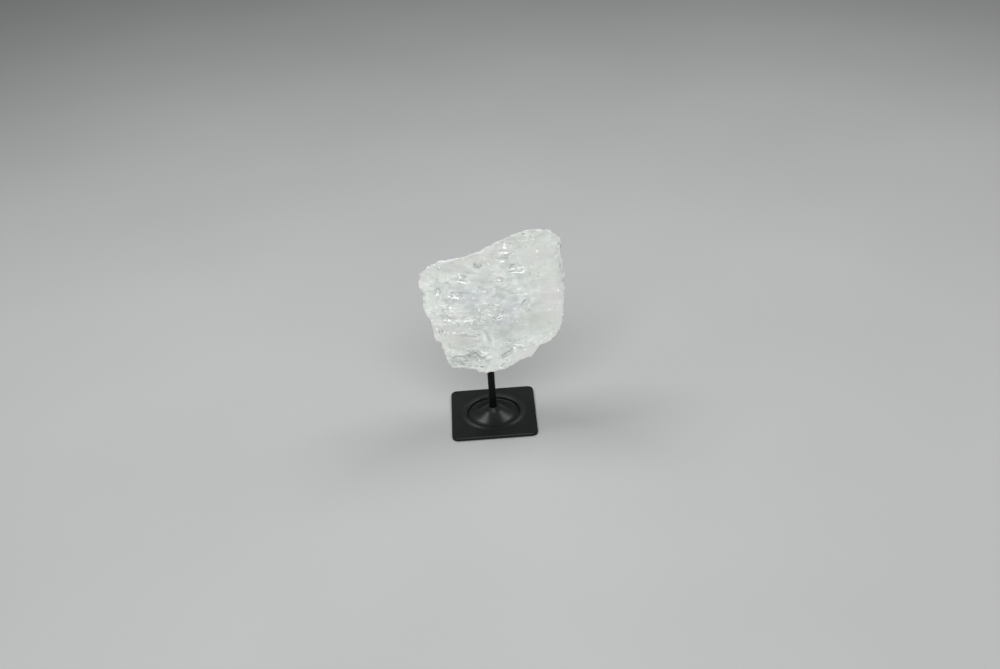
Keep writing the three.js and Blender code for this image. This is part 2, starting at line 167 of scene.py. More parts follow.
# Cloudy patches: how their edges wander and fade.
TINT_WANDER, TINT_WANDER_SIZE = (4.0, 3.0), 9.0
TINT_FADE = 0.8
TINT_SEED, TINT_SEED_STEP = 200, 20
# Veils: how they wander, wear and end; an unevenness is given as its depth, size and seed.
VEIL_WANDER = (0.5, 3.0, 91)
VEIL_WEAR_LEAST, VEIL_WEAR = 0.75, (0.5, np.array([2.6, 4.0, 4.0]), 93)
VEIL_ENDS = (0.2, 1.1)

# The milky quartz: its body's colours, then the layers over it in order, each a share and a colour.
# A noise is its lumps per metre, detail, stretch and distortion.
BODY_NOISE = (55, 4, (1, 1, 1), 0.6)
BODY_COLOURS = [
    (0.32, (0.61, 0.65, 0.618)), (0.48, (0.648, 0.684, 0.656)), (0.6, (0.674, 0.70, 0.672)),
    (0.72, (0.702, 0.713, 0.686)),
]
LAYERS = {
    "pale_facet": (0.7, (0.83, 0.865, 0.84)),
    "dark_facet": (0.7, (0.48, 0.525, 0.50)),
    "violet": (0.8, (0.62, 0.635, 0.70)),
    "yellow": (0.8, (0.675, 0.695, 0.615)),
    "warm": (0.8, (0.66, 0.64, 0.615)),
    "grey": (0.8, (0.63, 0.635, 0.615)),
    # Darker cloudy patches, and painted shade along the right edge.
    "dim_and_shade": (0.85, (0.505, 0.55, 0.525)),
    "pale": (0.85, (0.735, 0.785, 0.745)),
    "rose": (0.85, (0.755, 0.735, 0.735)),
    "mottle": (0.2, (0.76, 0.79, 0.765)),
    "line": (0.8, (0.83, 0.86, 0.835)),
    "crack": (0.6, (0.47, 0.51, 0.49)),
    "pale_veil": (0.85, (0.80, 0.85, 0.82)),
    "dark_veil": (0.9, (0.42, 0.47, 0.45)),
    "rim": (0.5, (0.68, 0.635, 0.645)),
    # Painted shade that dulls the upward sides of steps where they catch the light.
    "shaded_riser": (0.95, (0.42, 0.46, 0.44)),
    "dark_speck": (0.4, (0.42, 0.46, 0.44)),
    # Painted shade in the pits and hollows.
    "shaded_pit": (0.85, (0.36, 0.40, 0.38)),
    # Painted glints: tiny bright specks, thickest where the glints crowd.
    "painted_glint_speck": (0.5, (0.93, 0.95, 0.935)),
    # Painted glints on the flakes.
    "flake_glint": (0.95, (0.99, 1.0, 0.995)),
}
# Lines and cracks: scale, stretch, width, and their patches' scale. Specks: scale, how far glints
# crowd them, where they begin and are whole. Pits and flakes: their edges' scale, start and end.
MOTTLE_NOISE, MOTTLE_FADE = (230, 4, (0.7, 0.7, 1.3), 0.8), (0.5, 0.66)
LINES = (120, (0.7, 0.7, 1.3), 0.03, 60)
CRACKS = (95, (0.9, 0.9, 1.1), 0.018, 45)
DARK_SPECKS, GLINT_SPECKS = (340, 0.14, 0.67, 0.74), (390, 0.15, 0.68, 0.76)
SPECK_STRETCH = (1, 1, 1.5)
FRAY, PIT_EDGE, FLAKE_EDGE = 0.35, (600, 0.25, 0.75), (550, 0.22, 0.75)
BUSY, CALM = 1.0, 0.3
QUARTZ_IOR = 1.544
ROUGHNESS_NOISE, QUARTZ_ROUGHNESS = (120, 4), (0.26, 0.46)
FLAKE_GLOSSIER, RISER_ROUGHER = 0.18, 0.25
MILKINESS = 0.7
SCATTER_RADIUS = (1.0, 1.0, 0.95)
SCATTER_DEPTH = 0.0015
QUARTZ_BUMP = (0.2, 0.0003)
FINE_NOISE, COARSE_NOISE, COARSE_SHARE = (900, 3), (260, 4), 1.6

# Flakes in the broad face, raised and whitened with painted glints: u, w, half length, half height, turn
# in degrees from the growth lines, strength.
FLAKES = [
    (19.2, 113.1, 0.87, 1.47, 0, 0.8), (19.2, 110.5, 1.39, 1.38, 0, 1),
    (19.7, 106.0, 2.61, 0.55, 2, 0.7), (18.5, 104.0, 2.09, 0.55, 4, 0.6),
    (24.7, 111.8, 0.61, 1.38, 0, 0.45), (16.4, 98.9, 2.26, 0.64, 4, 0.75),
    (28.1, 95.0, 1.91, 0.55, -32, 0.9), (30.8, 91.6, 1.39, 0.74, -50, 0.7),
    (33.4, 92.0, 1.04, 1.29, 20, 0.8), (24.2, 90.8, 2.96, 0.64, 3, 0.9),
    (28.7, 88.0, 5.22, 0.55, 0, 0.8), (33.9, 89.0, 1.22, 0.92, 30, 0.6),
    (25.7, 93.6, 1.04, 0.46, 20, 0.5), (46.3, 104.7, 1.39, 0.55, 35, 0.6),
    (46.3, 99.6, 1.04, 1.01, 0, 0.35), (44.3, 103.3, 1.39, 0.55, 40, 0.4),
    (27.8, 80.2, 0.7, 3.13, 3, 0.4), (28.2, 73.7, 0.78, 0.74, 0, 0.6), (34.9, 68.9, 1.22, 1.01, 0, 0.7),
    (33.8, 70.4, 0.7, 0.55, 0, 0.4), (62.3, 69.3, 0.61, 1.01, 0, 1), (12.4, 82.4, 1.9, 0.5, -18, 0.85),
    (6.9, 92.1, 0.61, 1.47, 0, 0.45),
    (40.6, 119.0, 3.65, 0.41, 47, 0.5), (42.8, 117.8, 3.83, 0.41, 47, 0.5),
    (38.2, 120.0, 2.61, 0.37, 47, 0.45), (41.3, 123.2, 2.26, 0.46, -10, 0.4),
    (36.7, 123.1, 1.74, 0.55, 30, 0.35), (57.6, 114.4, 0.87, 0.74, 0, 0.3),
    (58.5, 81.1, 2.78, 0.55, 8, 0.35), (-20.7, 90.1, 0.7, 1.66, 8, 0.9),
    (-19.8, 87.3, 1.13, 1.47, 12, 1), (-17.7, 82.5, 3.31, 0.64, -14, 0.95),
    (-21.5, 83.6, 1.39, 0.55, 0, 0.6), (-12.9, 85.8, 1.57, 0.74, 0, 0.4),
    (-30.0, 86.8, 0.87, 0.92, 40, 0.8), (-31.4, 85.0, 0.52, 1.1, 0, 0.5),
    (-36.7, 96.8, 0.7, 0.83, 0, 0.7), (-32.3, 78.3, 0.7, 0.64, 0, 0.6),
    (-29.3, 81.8, 1.74, 0.46, 0, 0.3), (-33.8, 81.6, 1.74, 0.46, 0, 0.35),
    (-29.9, 73.9, 0.52, 1.47, 25, 0.9), (-30.6, 70.6, 0.96, 0.92, 0, 0.9),
    (-27.5, 72.1, 1.04, 0.55, 35, 0.8), (-25.6, 73.7, 1.22, 0.55, -30, 0.7),
    (-24.4, 69.4, 2.26, 0.64, 0, 0.9), (-27.3, 69.4, 1.04, 0.64, 0, 0.7),
    (-23.2, 72.1, 0.7, 0.64, 0, 0.5), (-29.1, 68.7, 1.3, 0.46, 0, 0.4),
    (-39.6, 75.7, 0.61, 1.1, 15, 0.7), (-41.0, 72.6, 0.61, 1.84, -25, 0.8),
    (-39.2, 72.3, 0.61, 1.84, 25, 0.7), (-43.4, 70.3, 1.04, 0.46, 10, 0.5),
    (-38.8, 69.9, 0.61, 0.55, 0, 0.5), (-9.6, 74.6, 1.74, 0.46, 4, 0.5),
    (-8.5, 71.9, 1.04, 0.46, 0, 0.4), (-10.3, 68.1, 1.04, 0.83, -30, 0.6),
    (-8.3, 66.9, 0.78, 0.55, 0, 0.5), (-38.4, 62.9, 1.39, 0.46, -8, 0.7),
    (-35.3, 63.2, 1.04, 0.46, 20, 0.6), (-40.9, 63.0, 0.7, 0.46, 0, 0.5),
    (-36.5, 61.4, 0.7, 0.46, 0, 0.4), (-0.4, 62.9, 2.26, 0.55, -5, 0.8),
    (-6.3, 57.4, 0.61, 1.66, 0, 0.95), (0.2, 56.8, 1.22, 0.83, 0, 0.6),
    (-2.4, 60.9, 0.87, 0.55, 0, 0.4), (-30.8, 57.2, 0.61, 0.64, 0, 0.6),
    (-28.4, 57.9, 0.61, 0.92, 20, 0.6), (-33.0, 55.7, 0.7, 0.46, 0, 0.5),
    (-27.0, 55.6, 0.52, 0.74, 0, 0.6), (-29.7, 54.2, 0.7, 0.46, 0, 0.5),
    (-34.4, 57.6, 0.52, 0.55, 0, 0.4), (-48.1, 59.4, 1.74, 0.46, 0, 0.8),
    (-41.5, 55.8, 1.04, 0.64, 0, 0.5), (-40.5, 57.6, 0.61, 0.64, 0, 0.4),
    (-42.2, 49.6, 0.61, 0.46, 0, 0.5), (-40.0, 50.0, 0.61, 0.46, 0, 0.6),
    (-37.8, 49.3, 0.7, 0.46, 0, 0.5), (-32.3, 49.4, 0.96, 1.1, 0, 1), (-29.5, 47.9, 1.04, 0.55, 0, 0.6),
    (-26.0, 48.9, 0.61, 0.92, 0, 0.6), (-22.1, 48.4, 1.22, 0.46, 0, 0.4),
    (-14.8, 47.8, 2.61, 0.41, 2, 0.7), (-10.5, 49.0, 1.91, 0.64, 6, 0.6),
    (-3.1, 44.6, 2.96, 0.41, 0, 0.5), (11.9, 50.3, 3.31, 0.64, 20, 0.9),
    (9.1, 47.8, 1.04, 0.55, 0, 0.6), (5.7, 47.9, 1.74, 0.46, 0, 0.6), (4.8, 51.2, 1.22, 0.46, 12, 0.4),
    (9.6, 60.2, 1.04, 0.64, 35, 0.6), (11.4, 61.1, 0.7, 0.74, 0, 0.4),
    (35.5, 61.9, 0.61, 1.47, -25, 0.5), (36.9, 58.8, 0.7, 2.02, 0, 0.45),
    (34.0, 63.1, 0.78, 0.55, 0, 0.4), (33.5, 40.9, 1.39, 0.41, 10, 0.5),
    (30.5, 41.5, 1.04, 0.37, -30, 0.35), (-18.6, 38.4, 1.91, 0.37, 0, 0.35),
    (-14.2, 35.8, 2.78, 0.37, 4, 0.35), (-10.4, 38.1, 2.09, 0.37, 0, 0.35),
    (-16.5, 37.1, 0.87, 0.37, 40, 0.3), (-8.5, 36.3, 0.87, 0.37, -30, 0.3),
    (-28.6, 19.6, 6.61, 0.64, 1, 0.4), (-34.5, 22.5, 0.87, 0.64, 0, 0.5),
    (-5.0, 18.4, 3.2, 0.6, -29, 1), (-0.9, 13.8, 1.39, 1.47, 0, 0.9), (0.7, 14.8, 0.87, 1.1, 0, 0.7),
    (-3.2, 12.7, 1.22, 0.55, 0, 0.6), (26.3, 22.9, 4.7, 0.64, -6, 0.9),
    (29.8, 21.3, 1.39, 0.55, 0, 0.7), (30.5, 18.5, 1.04, 0.83, 0, 0.8),
    (39.4, 28.8, 1.22, 0.55, 20, 0.6), (27.4, 24.8, 2.78, 0.46, 40, 0.35),
    (9.7, 11.7, 1.04, 0.64, 20, 0.5), (16.1, 17.1, 2.61, 0.46, 35, 0.4),
    (12.5, 9.1, 0.87, 0.64, 0, 0.5), (-19.7, 12.7, 2.96, 0.41, 6, 0.4),
    (-8.3, 13.8, 1.74, 0.41, 0, 0.35), (-16.6, 17.2, 0.6, 0.8, 20, 0.7), (-12.9, 15.9, 0.5, 0.9, -20, 0.7),
    (-18.4, 19.1, 0.5, 0.5, 0, 0.6),
]

# Pits and hollows in the broad face, given the same way, darkened with painted shade.
PITS = [
    (-6.8, 97.5, 0.43, 1.66, 14, 0.9), (-5.2, 95.1, 0.7, 0.83, -20, 1),
    (-4.1, 94.1, 0.78, 0.55, 0, 0.9), (-2.5, 95.4, 0.52, 1.1, 0, 0.7),
    (-1.4, 96.6, 0.52, 1.47, -6, 0.9), (-0.1, 92.1, 0.61, 0.55, 0, 0.7),
    (24.4, 112.6, 0.43, 1.2, 0, 0.8), (16.4, 108.3, 1.74, 0.37, 0, 0.5),
    (21.0, 99.2, 0.7, 0.64, 0, 0.8), (24.8, 92.1, 0.52, 0.55, 0, 0.7), (27.0, 87.1, 5.22, 0.41, 0, 0.7),
    (39.4, 85.6, 0.52, 1.47, 0, 0.7), (44.5, 85.9, 1.74, 0.46, 0, 0.5),
    (46.9, 85.9, 0.52, 0.83, 0, 0.6), (46.7, 106.6, 0.78, 0.46, 0, 0.6),
    (52.9, 115.8, 0.52, 0.83, 0, 0.7), (35.4, 120.7, 0.96, 1.01, 0, 0.8),
    (37.0, 121.6, 0.52, 0.55, 0, 0.6), (42.4, 121.8, 1.39, 0.37, 47, 0.4),
    (65.4, 109.2, 0.7, 1.47, -10, 0.8), (64.0, 105.4, 0.7, 1.29, 0, 0.5),
    (65.9, 103.4, 0.52, 1.1, 0, 0.7), (65.1, 90.3, 0.78, 2.02, -8, 0.8),
    (66.2, 84.8, 0.52, 1.66, 0, 0.6), (66.7, 78.1, 0.43, 0.83, 0, 0.6),
    (-31.5, 82.8, 0.52, 0.74, 20, 0.8), (-29.9, 83.6, 0.43, 0.46, 0, 0.6),
    (-21.4, 82.1, 1.04, 0.37, -8, 0.8), (-14.6, 87.2, 1.04, 0.46, 0, 0.5),
    (-39.1, 77.4, 0.52, 0.55, 0, 0.8), (-38.3, 74.9, 0.43, 0.55, 0, 0.7),
    (-42.2, 74.5, 0.43, 2.02, -30, 0.6), (-40.6, 69.2, 0.61, 0.46, 0, 0.5),
    (-28.6, 70.8, 0.52, 0.64, 0, 0.6), (-25.0, 71.0, 0.43, 0.83, 0, 0.7),
    (-30.2, 65.2, 1.39, 0.64, 0, 0.5), (-26.8, 67.2, 1.04, 0.37, 0, 0.5),
    (-13.2, 72.4, 2.26, 0.37, 0, 0.4), (-6.8, 69.3, 0.52, 0.83, 0, 0.5),
    (-11.6, 68.0, 0.52, 0.64, 0, 0.5), (-42.0, 64.3, 0.52, 0.46, 0, 0.5),
    (-37.8, 59.9, 1.57, 0.37, 0, 0.4), (-31.4, 59.4, 0.7, 0.46, 0, 0.6),
    (-29.2, 56.1, 0.52, 0.46, 0, 0.6), (-34.3, 54.2, 1.04, 0.37, 0, 0.4),
    (-32.2, 52.6, 0.78, 0.37, 0, 0.5), (-44.8, 55.9, 0.7, 0.92, 0, 1),
    (-39.2, 52.6, 1.13, 0.83, 0, 0.6), (-43.1, 53.8, 0.52, 0.55, 0, 0.4),
    (-24.7, 44.4, 0.43, 1.47, 0, 0.9), (-25.2, 45.9, 0.7, 0.37, 0, 0.5),
    (-25.3, 42.7, 0.7, 0.37, 0, 0.5), (-41.2, 39.4, 0.52, 1.66, 0, 0.9),
    (-38.5, 40.1, 0.52, 1.29, -10, 0.9), (-39.4, 42.5, 1.57, 0.46, 20, 0.6),
    (-42.2, 43.1, 0.7, 0.46, 0, 0.5), (-40.2, 36.4, 0.52, 0.83, 0, 0.6),
    (-11.3, 40.0, 1.91, 0.46, -6, 0.6), (-4.9, 42.6, 3.13, 0.41, 0, 0.5),
    (-1.7, 47.6, 2.09, 0.64, 0, 0.7), (-6.2, 48.4, 0.87, 0.55, 0, 0.5),
    (-19.6, 36.6, 2.09, 0.35, 0, 0.4), (-13.0, 37.6, 2.61, 0.35, 0, 0.5),
    (-33.9, 25.5, 0.61, 1.47, 10, 0.6), (-34.8, 28.3, 0.52, 0.74, 0, 0.4),
    (-32.1, 23.7, 0.87, 0.55, 0, 0.5), (-16.4, 15.4, 1.57, 1.1, 0, 0.55),
    (-13.8, 17.2, 1.22, 0.83, 20, 0.65), (-11.3, 19.0, 1.39, 0.74, 25, 0.6),
    (-10.4, 16.4, 1.04, 0.92, 0, 0.7), (-12.9, 14.7, 0.87, 0.83, 0, 0.6),
    (-7.7, 18.2, 1.04, 0.46, -25, 0.8), (-7.3, 14.5, 1.39, 0.55, -20, 0.9),
    (-5.2, 14.9, 1.39, 0.46, -28, 0.9), (-9.1, 20.5, 1.22, 0.46, 0, 0.7),
    (-14.8, 19.5, 0.7, 0.55, 0, 0.6), (-33.2, 17.0, 1.39, 0.55, 0, 0.7),
    (-25.1, 15.7, 1.22, 0.55, 0, 0.6), (-28.8, 17.3, 2.61, 0.37, 0, 0.5),
    (-24.1, 8.6, 1.22, 0.74, 0, 0.9), (-27.1, 10.3, 0.78, 0.55, 0, 0.7),
    (-20.3, 11.6, 2.61, 0.37, 0, 0.7), (-22.4, 13.6, 0.87, 0.64, 0, 0.6),
    (-14.4, 6.4, 4.35, 0.35, -4, 0.5), (-8.7, 8.5, 1.74, 0.46, 0, 0.6), (6.4, 48.4, 0.87, 0.83, 0, 0.8),
    (15.3, 45.0, 1.74, 0.46, 0, 0.6), (16.4, 51.2, 0.87, 0.37, 0, 0.4),
    (32.4, 62.2, 0.39, 1.84, -38, 0.9), (30.4, 58.9, 0.35, 1.75, -12, 0.7),
    (34.4, 64.0, 0.7, 0.37, -50, 0.6), (58.5, 53.9, 0.87, 0.92, 0, 0.5),
    (39.8, 48.2, 0.43, 1.1, 0, 0.4), (50.2, 49.7, 0.61, 0.83, 0, 0.4), (16.5, 28.7, 0.78, 0.46, 0, 0.7),
    (13.8, 27.1, 0.87, 0.46, 20, 0.6), (18.4, 26.6, 0.43, 1.01, 0, 0.8),
    (21.7, 26.7, 0.43, 0.92, 10, 0.7), (15.4, 25.4, 1.22, 0.37, 0, 0.5),
    (20.6, 25.1, 0.52, 0.46, 0, 0.5), (32.2, 29.7, 0.43, 0.92, 0, 0.6),
    (34.1, 29.9, 0.43, 0.92, 0, 0.5), (38.0, 28.2, 0.61, 0.46, 0, 0.5),
    (25.9, 27.3, 1.91, 0.46, 25, 0.4), (20.3, 20.6, 1.74, 0.74, 22, 0.9),
    (17.5, 17.9, 1.57, 0.64, 40, 0.9), (14.3, 15.9, 1.39, 0.64, 40, 0.9),
    (11.4, 14.1, 1.39, 0.55, 30, 0.9), (8.5, 12.9, 0.87, 0.55, 20, 0.7),
    (17.7, 15.3, 1.04, 0.37, 35, 0.6), (13.1, 13.4, 1.39, 0.37, 30, 0.6),
    (31.2, 20.5, 1.39, 0.37, -10, 0.6), (56.8, 34.5, 1.22, 0.41, 15, 0.6),
    (54.7, 33.6, 0.52, 0.74, 0, 0.5), (59.4, 35.4, 0.61, 0.55, 0, 0.5), (9.8, 5.2, 1.39, 0.37, 8, 0.9),
    (13.0, 4.0, 1.22, 0.35, 8, 0.8), (16.6, 6.0, 0.7, 0.37, 8, 0.8), (-7.6, 4.7, 1.22, 0.46, 0, 0.8),
    (-0.9, 8.4, 0.43, 1.29, 0, 0.6), (0.8, 21.5, 0.43, 2.76, -16, 0.5),
    (-17.6, 20.6, 0.6, 1.0, 20, 0.9), (-15.9, 18.9, 0.5, 1.4, -25, 1), (-13.4, 20.4, 0.7, 0.6, 0, 0.9),
    (-12.2, 17.6, 0.5, 1.3, 30, 0.9), (-10.4, 19.3, 0.5, 1.0, -15, 0.8), (-19.4, 17.2, 0.7, 0.5, 10, 0.8),
    (-17.2, 15.6, 0.5, 1.1, 15, 0.8), (-14.2, 14.6, 0.8, 0.5, -20, 0.9), (-9.1, 15.4, 0.5, 1.2, 25, 0.8),
    (-7.1, 17.8, 0.6, 0.5, 0, 0.7), (-20.6, 14.2, 0.6, 0.5, 0, 0.6), (-11.6, 13.2, 0.9, 0.45, -25, 0.8),
    (-5.8, 13.1, 1.0, 0.45, -30, 0.8), (66.5, 101, 0.6, 1.6, -8, 0.9), (67.6, 96, 0.5, 1.4, 0, 0.8),
    (68.4, 88, 0.6, 2.0, 0, 0.9), (68.8, 79, 0.6, 2.4, 0, 0.8), (66.9, 84, 0.5, 1.0, 0, 0.6),
    (68, 72, 0.5, 1.6, 0, 0.6), (63.6, 103.6, 0.7, 1.9, -12, 0.55), (64.4, 97, 0.5, 2.2, -5, 0.6),
    (65.4, 88.5, 0.5, 2.8, -5, 0.65), (66.2, 77.5, 0.6, 2.0, 0, 0.7), (64.8, 92, 0.5, 1.4, 0, 0.5),
    (-25.2, 11, 1.0, 1.6, 10, 1), (-23.4, 8.4, 1.4, 0.8, 0, 1), (-28.6, 10.6, 0.5, 0.6, 0, 0.7),
    (-17, 6.9, 2.4, 0.45, 0, 0.9), (-12, 6.4, 1.6, 0.45, -4, 0.8), (-6.8, 5.4, 2.0, 0.7, 4, 1),
    (-3, 5.2, 1.0, 0.5, 0, 0.8), (11.5, 6.8, 1.2, 0.5, 6, 1), (17.6, 8.2, 0.7, 0.5, 20, 0.9),
]

# Where small glints crowd together: u, w, reach across, reach up, share of the cells that glint.
SPARKLE_FIELDS = [
    (-35, 62, 8, 15, 1.0), (-27, 72, 7, 4, 0.8), (-20, 49, 22, 4, 0.6), (28, 92, 9, 5, 0.5),
    (0, 16, 12, 6, 0.5), (-15, 36, 12, 4, 0.4), (18, 104, 6, 8, 0.3), (4, 52, 14, 10, 0.35),
    (30, 24, 12, 6, 0.4), (38, 119, 8, 4, 0.4), (-24, 88, 8, 5, 0.35), (35, 66, 6, 6, 0.3),
    (-28, 12, 10, 5, 0.35), (8, 8, 14, 4, 0.35), (-34, 38, 6, 8, 0.3),
]
# The cells across and up, and how likely one glints where no field reaches and within one.
SPARKLE_CELL = (2.6, 2.1)
SPARKLE_ACROSS, SPARKLE_UP = (-52, 66), (2, 122)
SPARKLE_BASE, SPARKLE_SHARE, SPARKLE_SEED = 0.03, 0.6, 12
# The glints' stray in their cells, half sizes, turns and strengths, and the bright share.
GLINT_STRAY = (1.1, 0.9)
GLINT_LONG, GLINT_HIGH = (0.4, 1.25), (0.35, 0.75)
GLINT_TURN, GLINT_STRENGTH = (-35, 35), (0.4, 1.0)
BRIGHT_SHARE = 0.68

# Cloudy patches inside the stone, with painted shade among the dim ones: u, w, reach across, reach up,
# strength.
TINTS = {
    "violet": [
        (-8.5, 71, 13, 7, 0.7), (-14, 64, 9, 6, 0.45), (22, 59, 9, 6, 0.55), (12.7, 46, 8, 5, 0.7),
        (-34, 107, 8, 5, 0.4), (20, 40, 8, 4, 0.35),
    ],
    "yellow": [
        (54, 83, 8, 12, 0.45), (43, 117, 8, 6, 0.7), (55, 42, 9, 13, 0.45), (-32, 31, 8, 8, 0.6),
        (-12, 101, 8, 3, 0.5), (-46, 90, 6, 5, 0.35), (36, 48, 8, 5, 0.4),
    ],
    "warm": [
        (-1.3, 101.3, 10, 6, 0.7), (-20, 94.8, 8, 5, 0.6), (50, 100, 12, 8, 0.35), (60, 66, 8, 16, 0.5),
        (-20, 33, 10, 8, 0.6), (-54, 84, 5, 9, 0.6), (40, 52, 6, 5, 0.5),
        (-30, 53, 6, 4, 0.5), (14, 110, 14, 6, 0.7), (14, 84, 6, 7, 0.5), (30, 116, 12, 5, 0.5),
        (-16, 105, 16, 3, 0.8), (6, 99, 10, 6, 0.6),
    ],
    # Darker cloudy patches; the two along the right edge, at u 67 and 68, are painted shade on the side
    # that turns away.
    "dim_and_shade": [
        (13, 35, 11, 6, 1.0), (17, 29, 8, 4, 0.8), (-14, 17, 8, 4, 0.8), (-19, 27, 8, 5, 0.5),
        (13, 17, 9, 3, 0.5), (-6.5, 57, 6, 7, 0.5), (-24, 9.5, 10, 3.5, 0.9), (68, 88, 2.5, 12, 0.9),
        (20, 92, 5, 4, 0.2), (-3, 44, 12, 3, 0.5), (26, 117, 6, 3, 0.5), (-38, 41, 3, 6, 0.4),
        (-3, 29, 8, 7, 0.45), (67, 80, 3.5, 14, 1.0),
    ],
    "pale": [
        (-49, 68, 4.5, 13, 1.0), (-47, 59, 5, 5, 0.8), (-45, 100, 8, 5, 0.6), (44, 27, 16, 5, 0.6),
        (60, 52, 7, 12, 0.4), (-30, 86, 9, 6, 0.3), (2, 7, 18, 4, 0.6), (-1, 15, 5, 4, 0.9),
        (-26, 19, 9, 2, 0.6), (30, 92, 8, 4, 0.35), (30, 72, 4, 8, 0.45), (38, 78, 5, 8, 0.35),
        (60, 116, 8, 5, 0.4), (52, 88, 9, 10, 0.5), (60, 76, 5, 10, 0.3), (-42, 82, 7, 7, 0.4),
        (-39, 31, 6, 6, 0.4), (26, 82, 9, 7, 0.3), (34, 104, 8, 6, 0.3),
    ],
    "rose": [
        (32, 14, 12, 5, 0.9), (18, 8, 10, 4, 0.5), (-54, 86, 4, 8, 0.6), (60, 62, 9, 20, 0.6),
        (46, 22, 8, 5, 0.5), (-28, 9, 12, 4, 0.4), (-42, 40, 4, 12, 0.4),
    ],
    # Where the face is smooth, with few lines and flecks.
    "calm": [
        (50, 103, 17, 14, 1.0), (54, 60, 13, 28, 0.9), (43, 42, 13, 10, 0.9), (-50, 90, 9, 9, 0.8),
        (-28, 32, 12, 7, 0.9), (31, 105, 8, 8, 0.6), (36, 15, 16, 7, 0.9), (-48.5, 64, 6, 14, 1.0),
        (12, 34, 12, 7, 0.7), (2, 88, 12, 7, 0.6), (-14, 104, 14, 4, 0.6),
    ],
    "grey": [
        (-30, 42, 12, 6, 0.8), (-17, 30, 7, 8, 0.8), (-38, 42, 6, 8, 0.7), (48, 97, 10, 11, 0.7),
        (25, 108, 9, 6, 0.6), (-10, 9, 26, 4, 0.5), (58, 58, 8, 14, 0.7), (-26, 90, 10, 6, 0.4),
        (60, 80, 8, 10, 0.4), (2, 60, 8, 5, 0.3), (34, 40, 9, 6, 0.3),
    ],
}

# Curved veils that run up and down near the foot: middle u, w, radius, width, from and to in
# degrees, strength.
VEILS = [
    (-22.0, 25.5, 19.8, 1.5, -8, 46, 1.0), (-22.0, 25.5, 26.4, 0.7, -8, 22, 0.9),
    (37.0, 60.0, 7.5, 0.8, 120, 205, 0.6), (-22.0, 25.5, 23.2, 1.0, -2, 40, -1.0),
]

# Small breaks that nudge the crystal's outline: u, w, reach, how far, and towards what degrees.
NUDGES = [
    (-54.6, 91.8, 2.0, 1.1, 165), (-55.3, 86, 2.6, -1.0, 180), (-54.3, 79.5, 1.2, 0.7, 190),
    (-53, 72, 2.4, -1.3, 180), (-53.5, 65.5, 3.0, -1.1, 180), (-52.6, 61, 1.6, -0.7, 185),
    (-48.4, 51, 1.8, -1.1, 200), (-46.2, 36, 1.6, 0.4, 190), (-43.6, 32, 1.8, 0.8, 250),
    (-40, 25, 1.3, 0.9, 190), (-36.5, 14.5, 1.8, 0.8, 190), (-33, 7.6, 1.6, 0.5, 240),
    (-48.3, 96.6, 1.2, -1.0, 125), (-45, 100, 1.4, 0.6, 110), (-39.6, 101, 1.6, -0.9, 90),
    (-36.8, 103, 1.4, -0.9, 110), (-31, 104, 3.4, -0.9, 90), (-25, 104.6, 3, -0.9, 90),
    (-19, 105.2, 2.6, -0.8, 95), (-2, 109.4, 1.4, -0.5, 110), (6.4, 113.6, 1.8, -0.6, 115),
    (17, 118, 2.6, -1.0, 110), (23, 120.6, 2.2, -0.6, 110), (33, 123.6, 1.6, -0.5, 100),
    (40, 125.2, 3.0, -1.1, 90), (52.6, 124, 1.9, -1.0, 80), (57, 123.2, 1.6, -0.5, 70),
    (63, 118, 2.2, 0.6, 50), (66, 114.2, 1.7, 1.1, 25), (66, 108, 1.5, -0.6, 0),
    (67.6, 79, 3.4, 0.8, 0), (67.2, 70, 2.4, 0.7, 0), (67.4, 63.6, 1.5, -0.8, 0),
    (65.2, 50, 2.6, 0.5, 0), (65, 46.2, 1.4, 0.8, -5), (57, 28.6, 1.4, 0.4, -50),
    (44.6, 21, 1.5, -1.1, -70), (42, 18.4, 1.4, 0.9, -50), (26, 8.6, 1.2, -0.6, -70),
    (20, 5.6, 2, 0.3, -80), (11, 2, 2, 0.6, -90), (-1, 0.2, 1.2, -0.5, -90), (-4, 0.2, 1.6, 0.4, -90),
    (-9, 0.8, 1.8, 0.5, -100), (-12.4, 3.4, 1.1, -0.7, -110), (-18, 4.8, 2, 0.3, -95),
]


# ------------------------------------------------------------------ repeatable unevenness

def scatter(cells, seed):
    """A repeatable value from 0 to 1 for each row of whole-numbered cells."""
    # The large numbers only mix the bits.
    mixed = np.full(len(cells), seed * 2654435761 + 97, np.uint64)
    for column, prime in zip(cells.T, (73856093, 19349663, 83492791)):
        mixed ^= (column.astype(np.int64) * prime).astype(np.uint64)
        mixed *= np.uint64(6364136223846793005)
        mixed ^= mixed >> np.uint64(29)
    return (mixed >> np.uint64(40)).astype(float) / float(1 << 24)


def uneven(points, seed):
    """Smooth unevenness between -1 and 1, with lumps one unit apart."""
    low = np.floor(points).astype(np.int64)
    t = points - low
    t = t * t * (3 - 2 * t)
    total = np.zeros(len(points))
    for corner in np.ndindex(*(2,) * points.shape[1]):
        share = np.prod(np.where(corner, t, 1 - t), axis=1)
        total += share * scatter(low + np.array(corner), seed)
    return 2 * total - 1


def layered(points, seed, octaves=3):
    """Several sizes of unevenness on top of one another."""
    total = np.zeros(len(points))
    for k in range(octaves):
        total += uneven(points * 2 ** k, seed + k) / 2 ** k
    return total / (2 - 0.5 ** (octaves - 1))


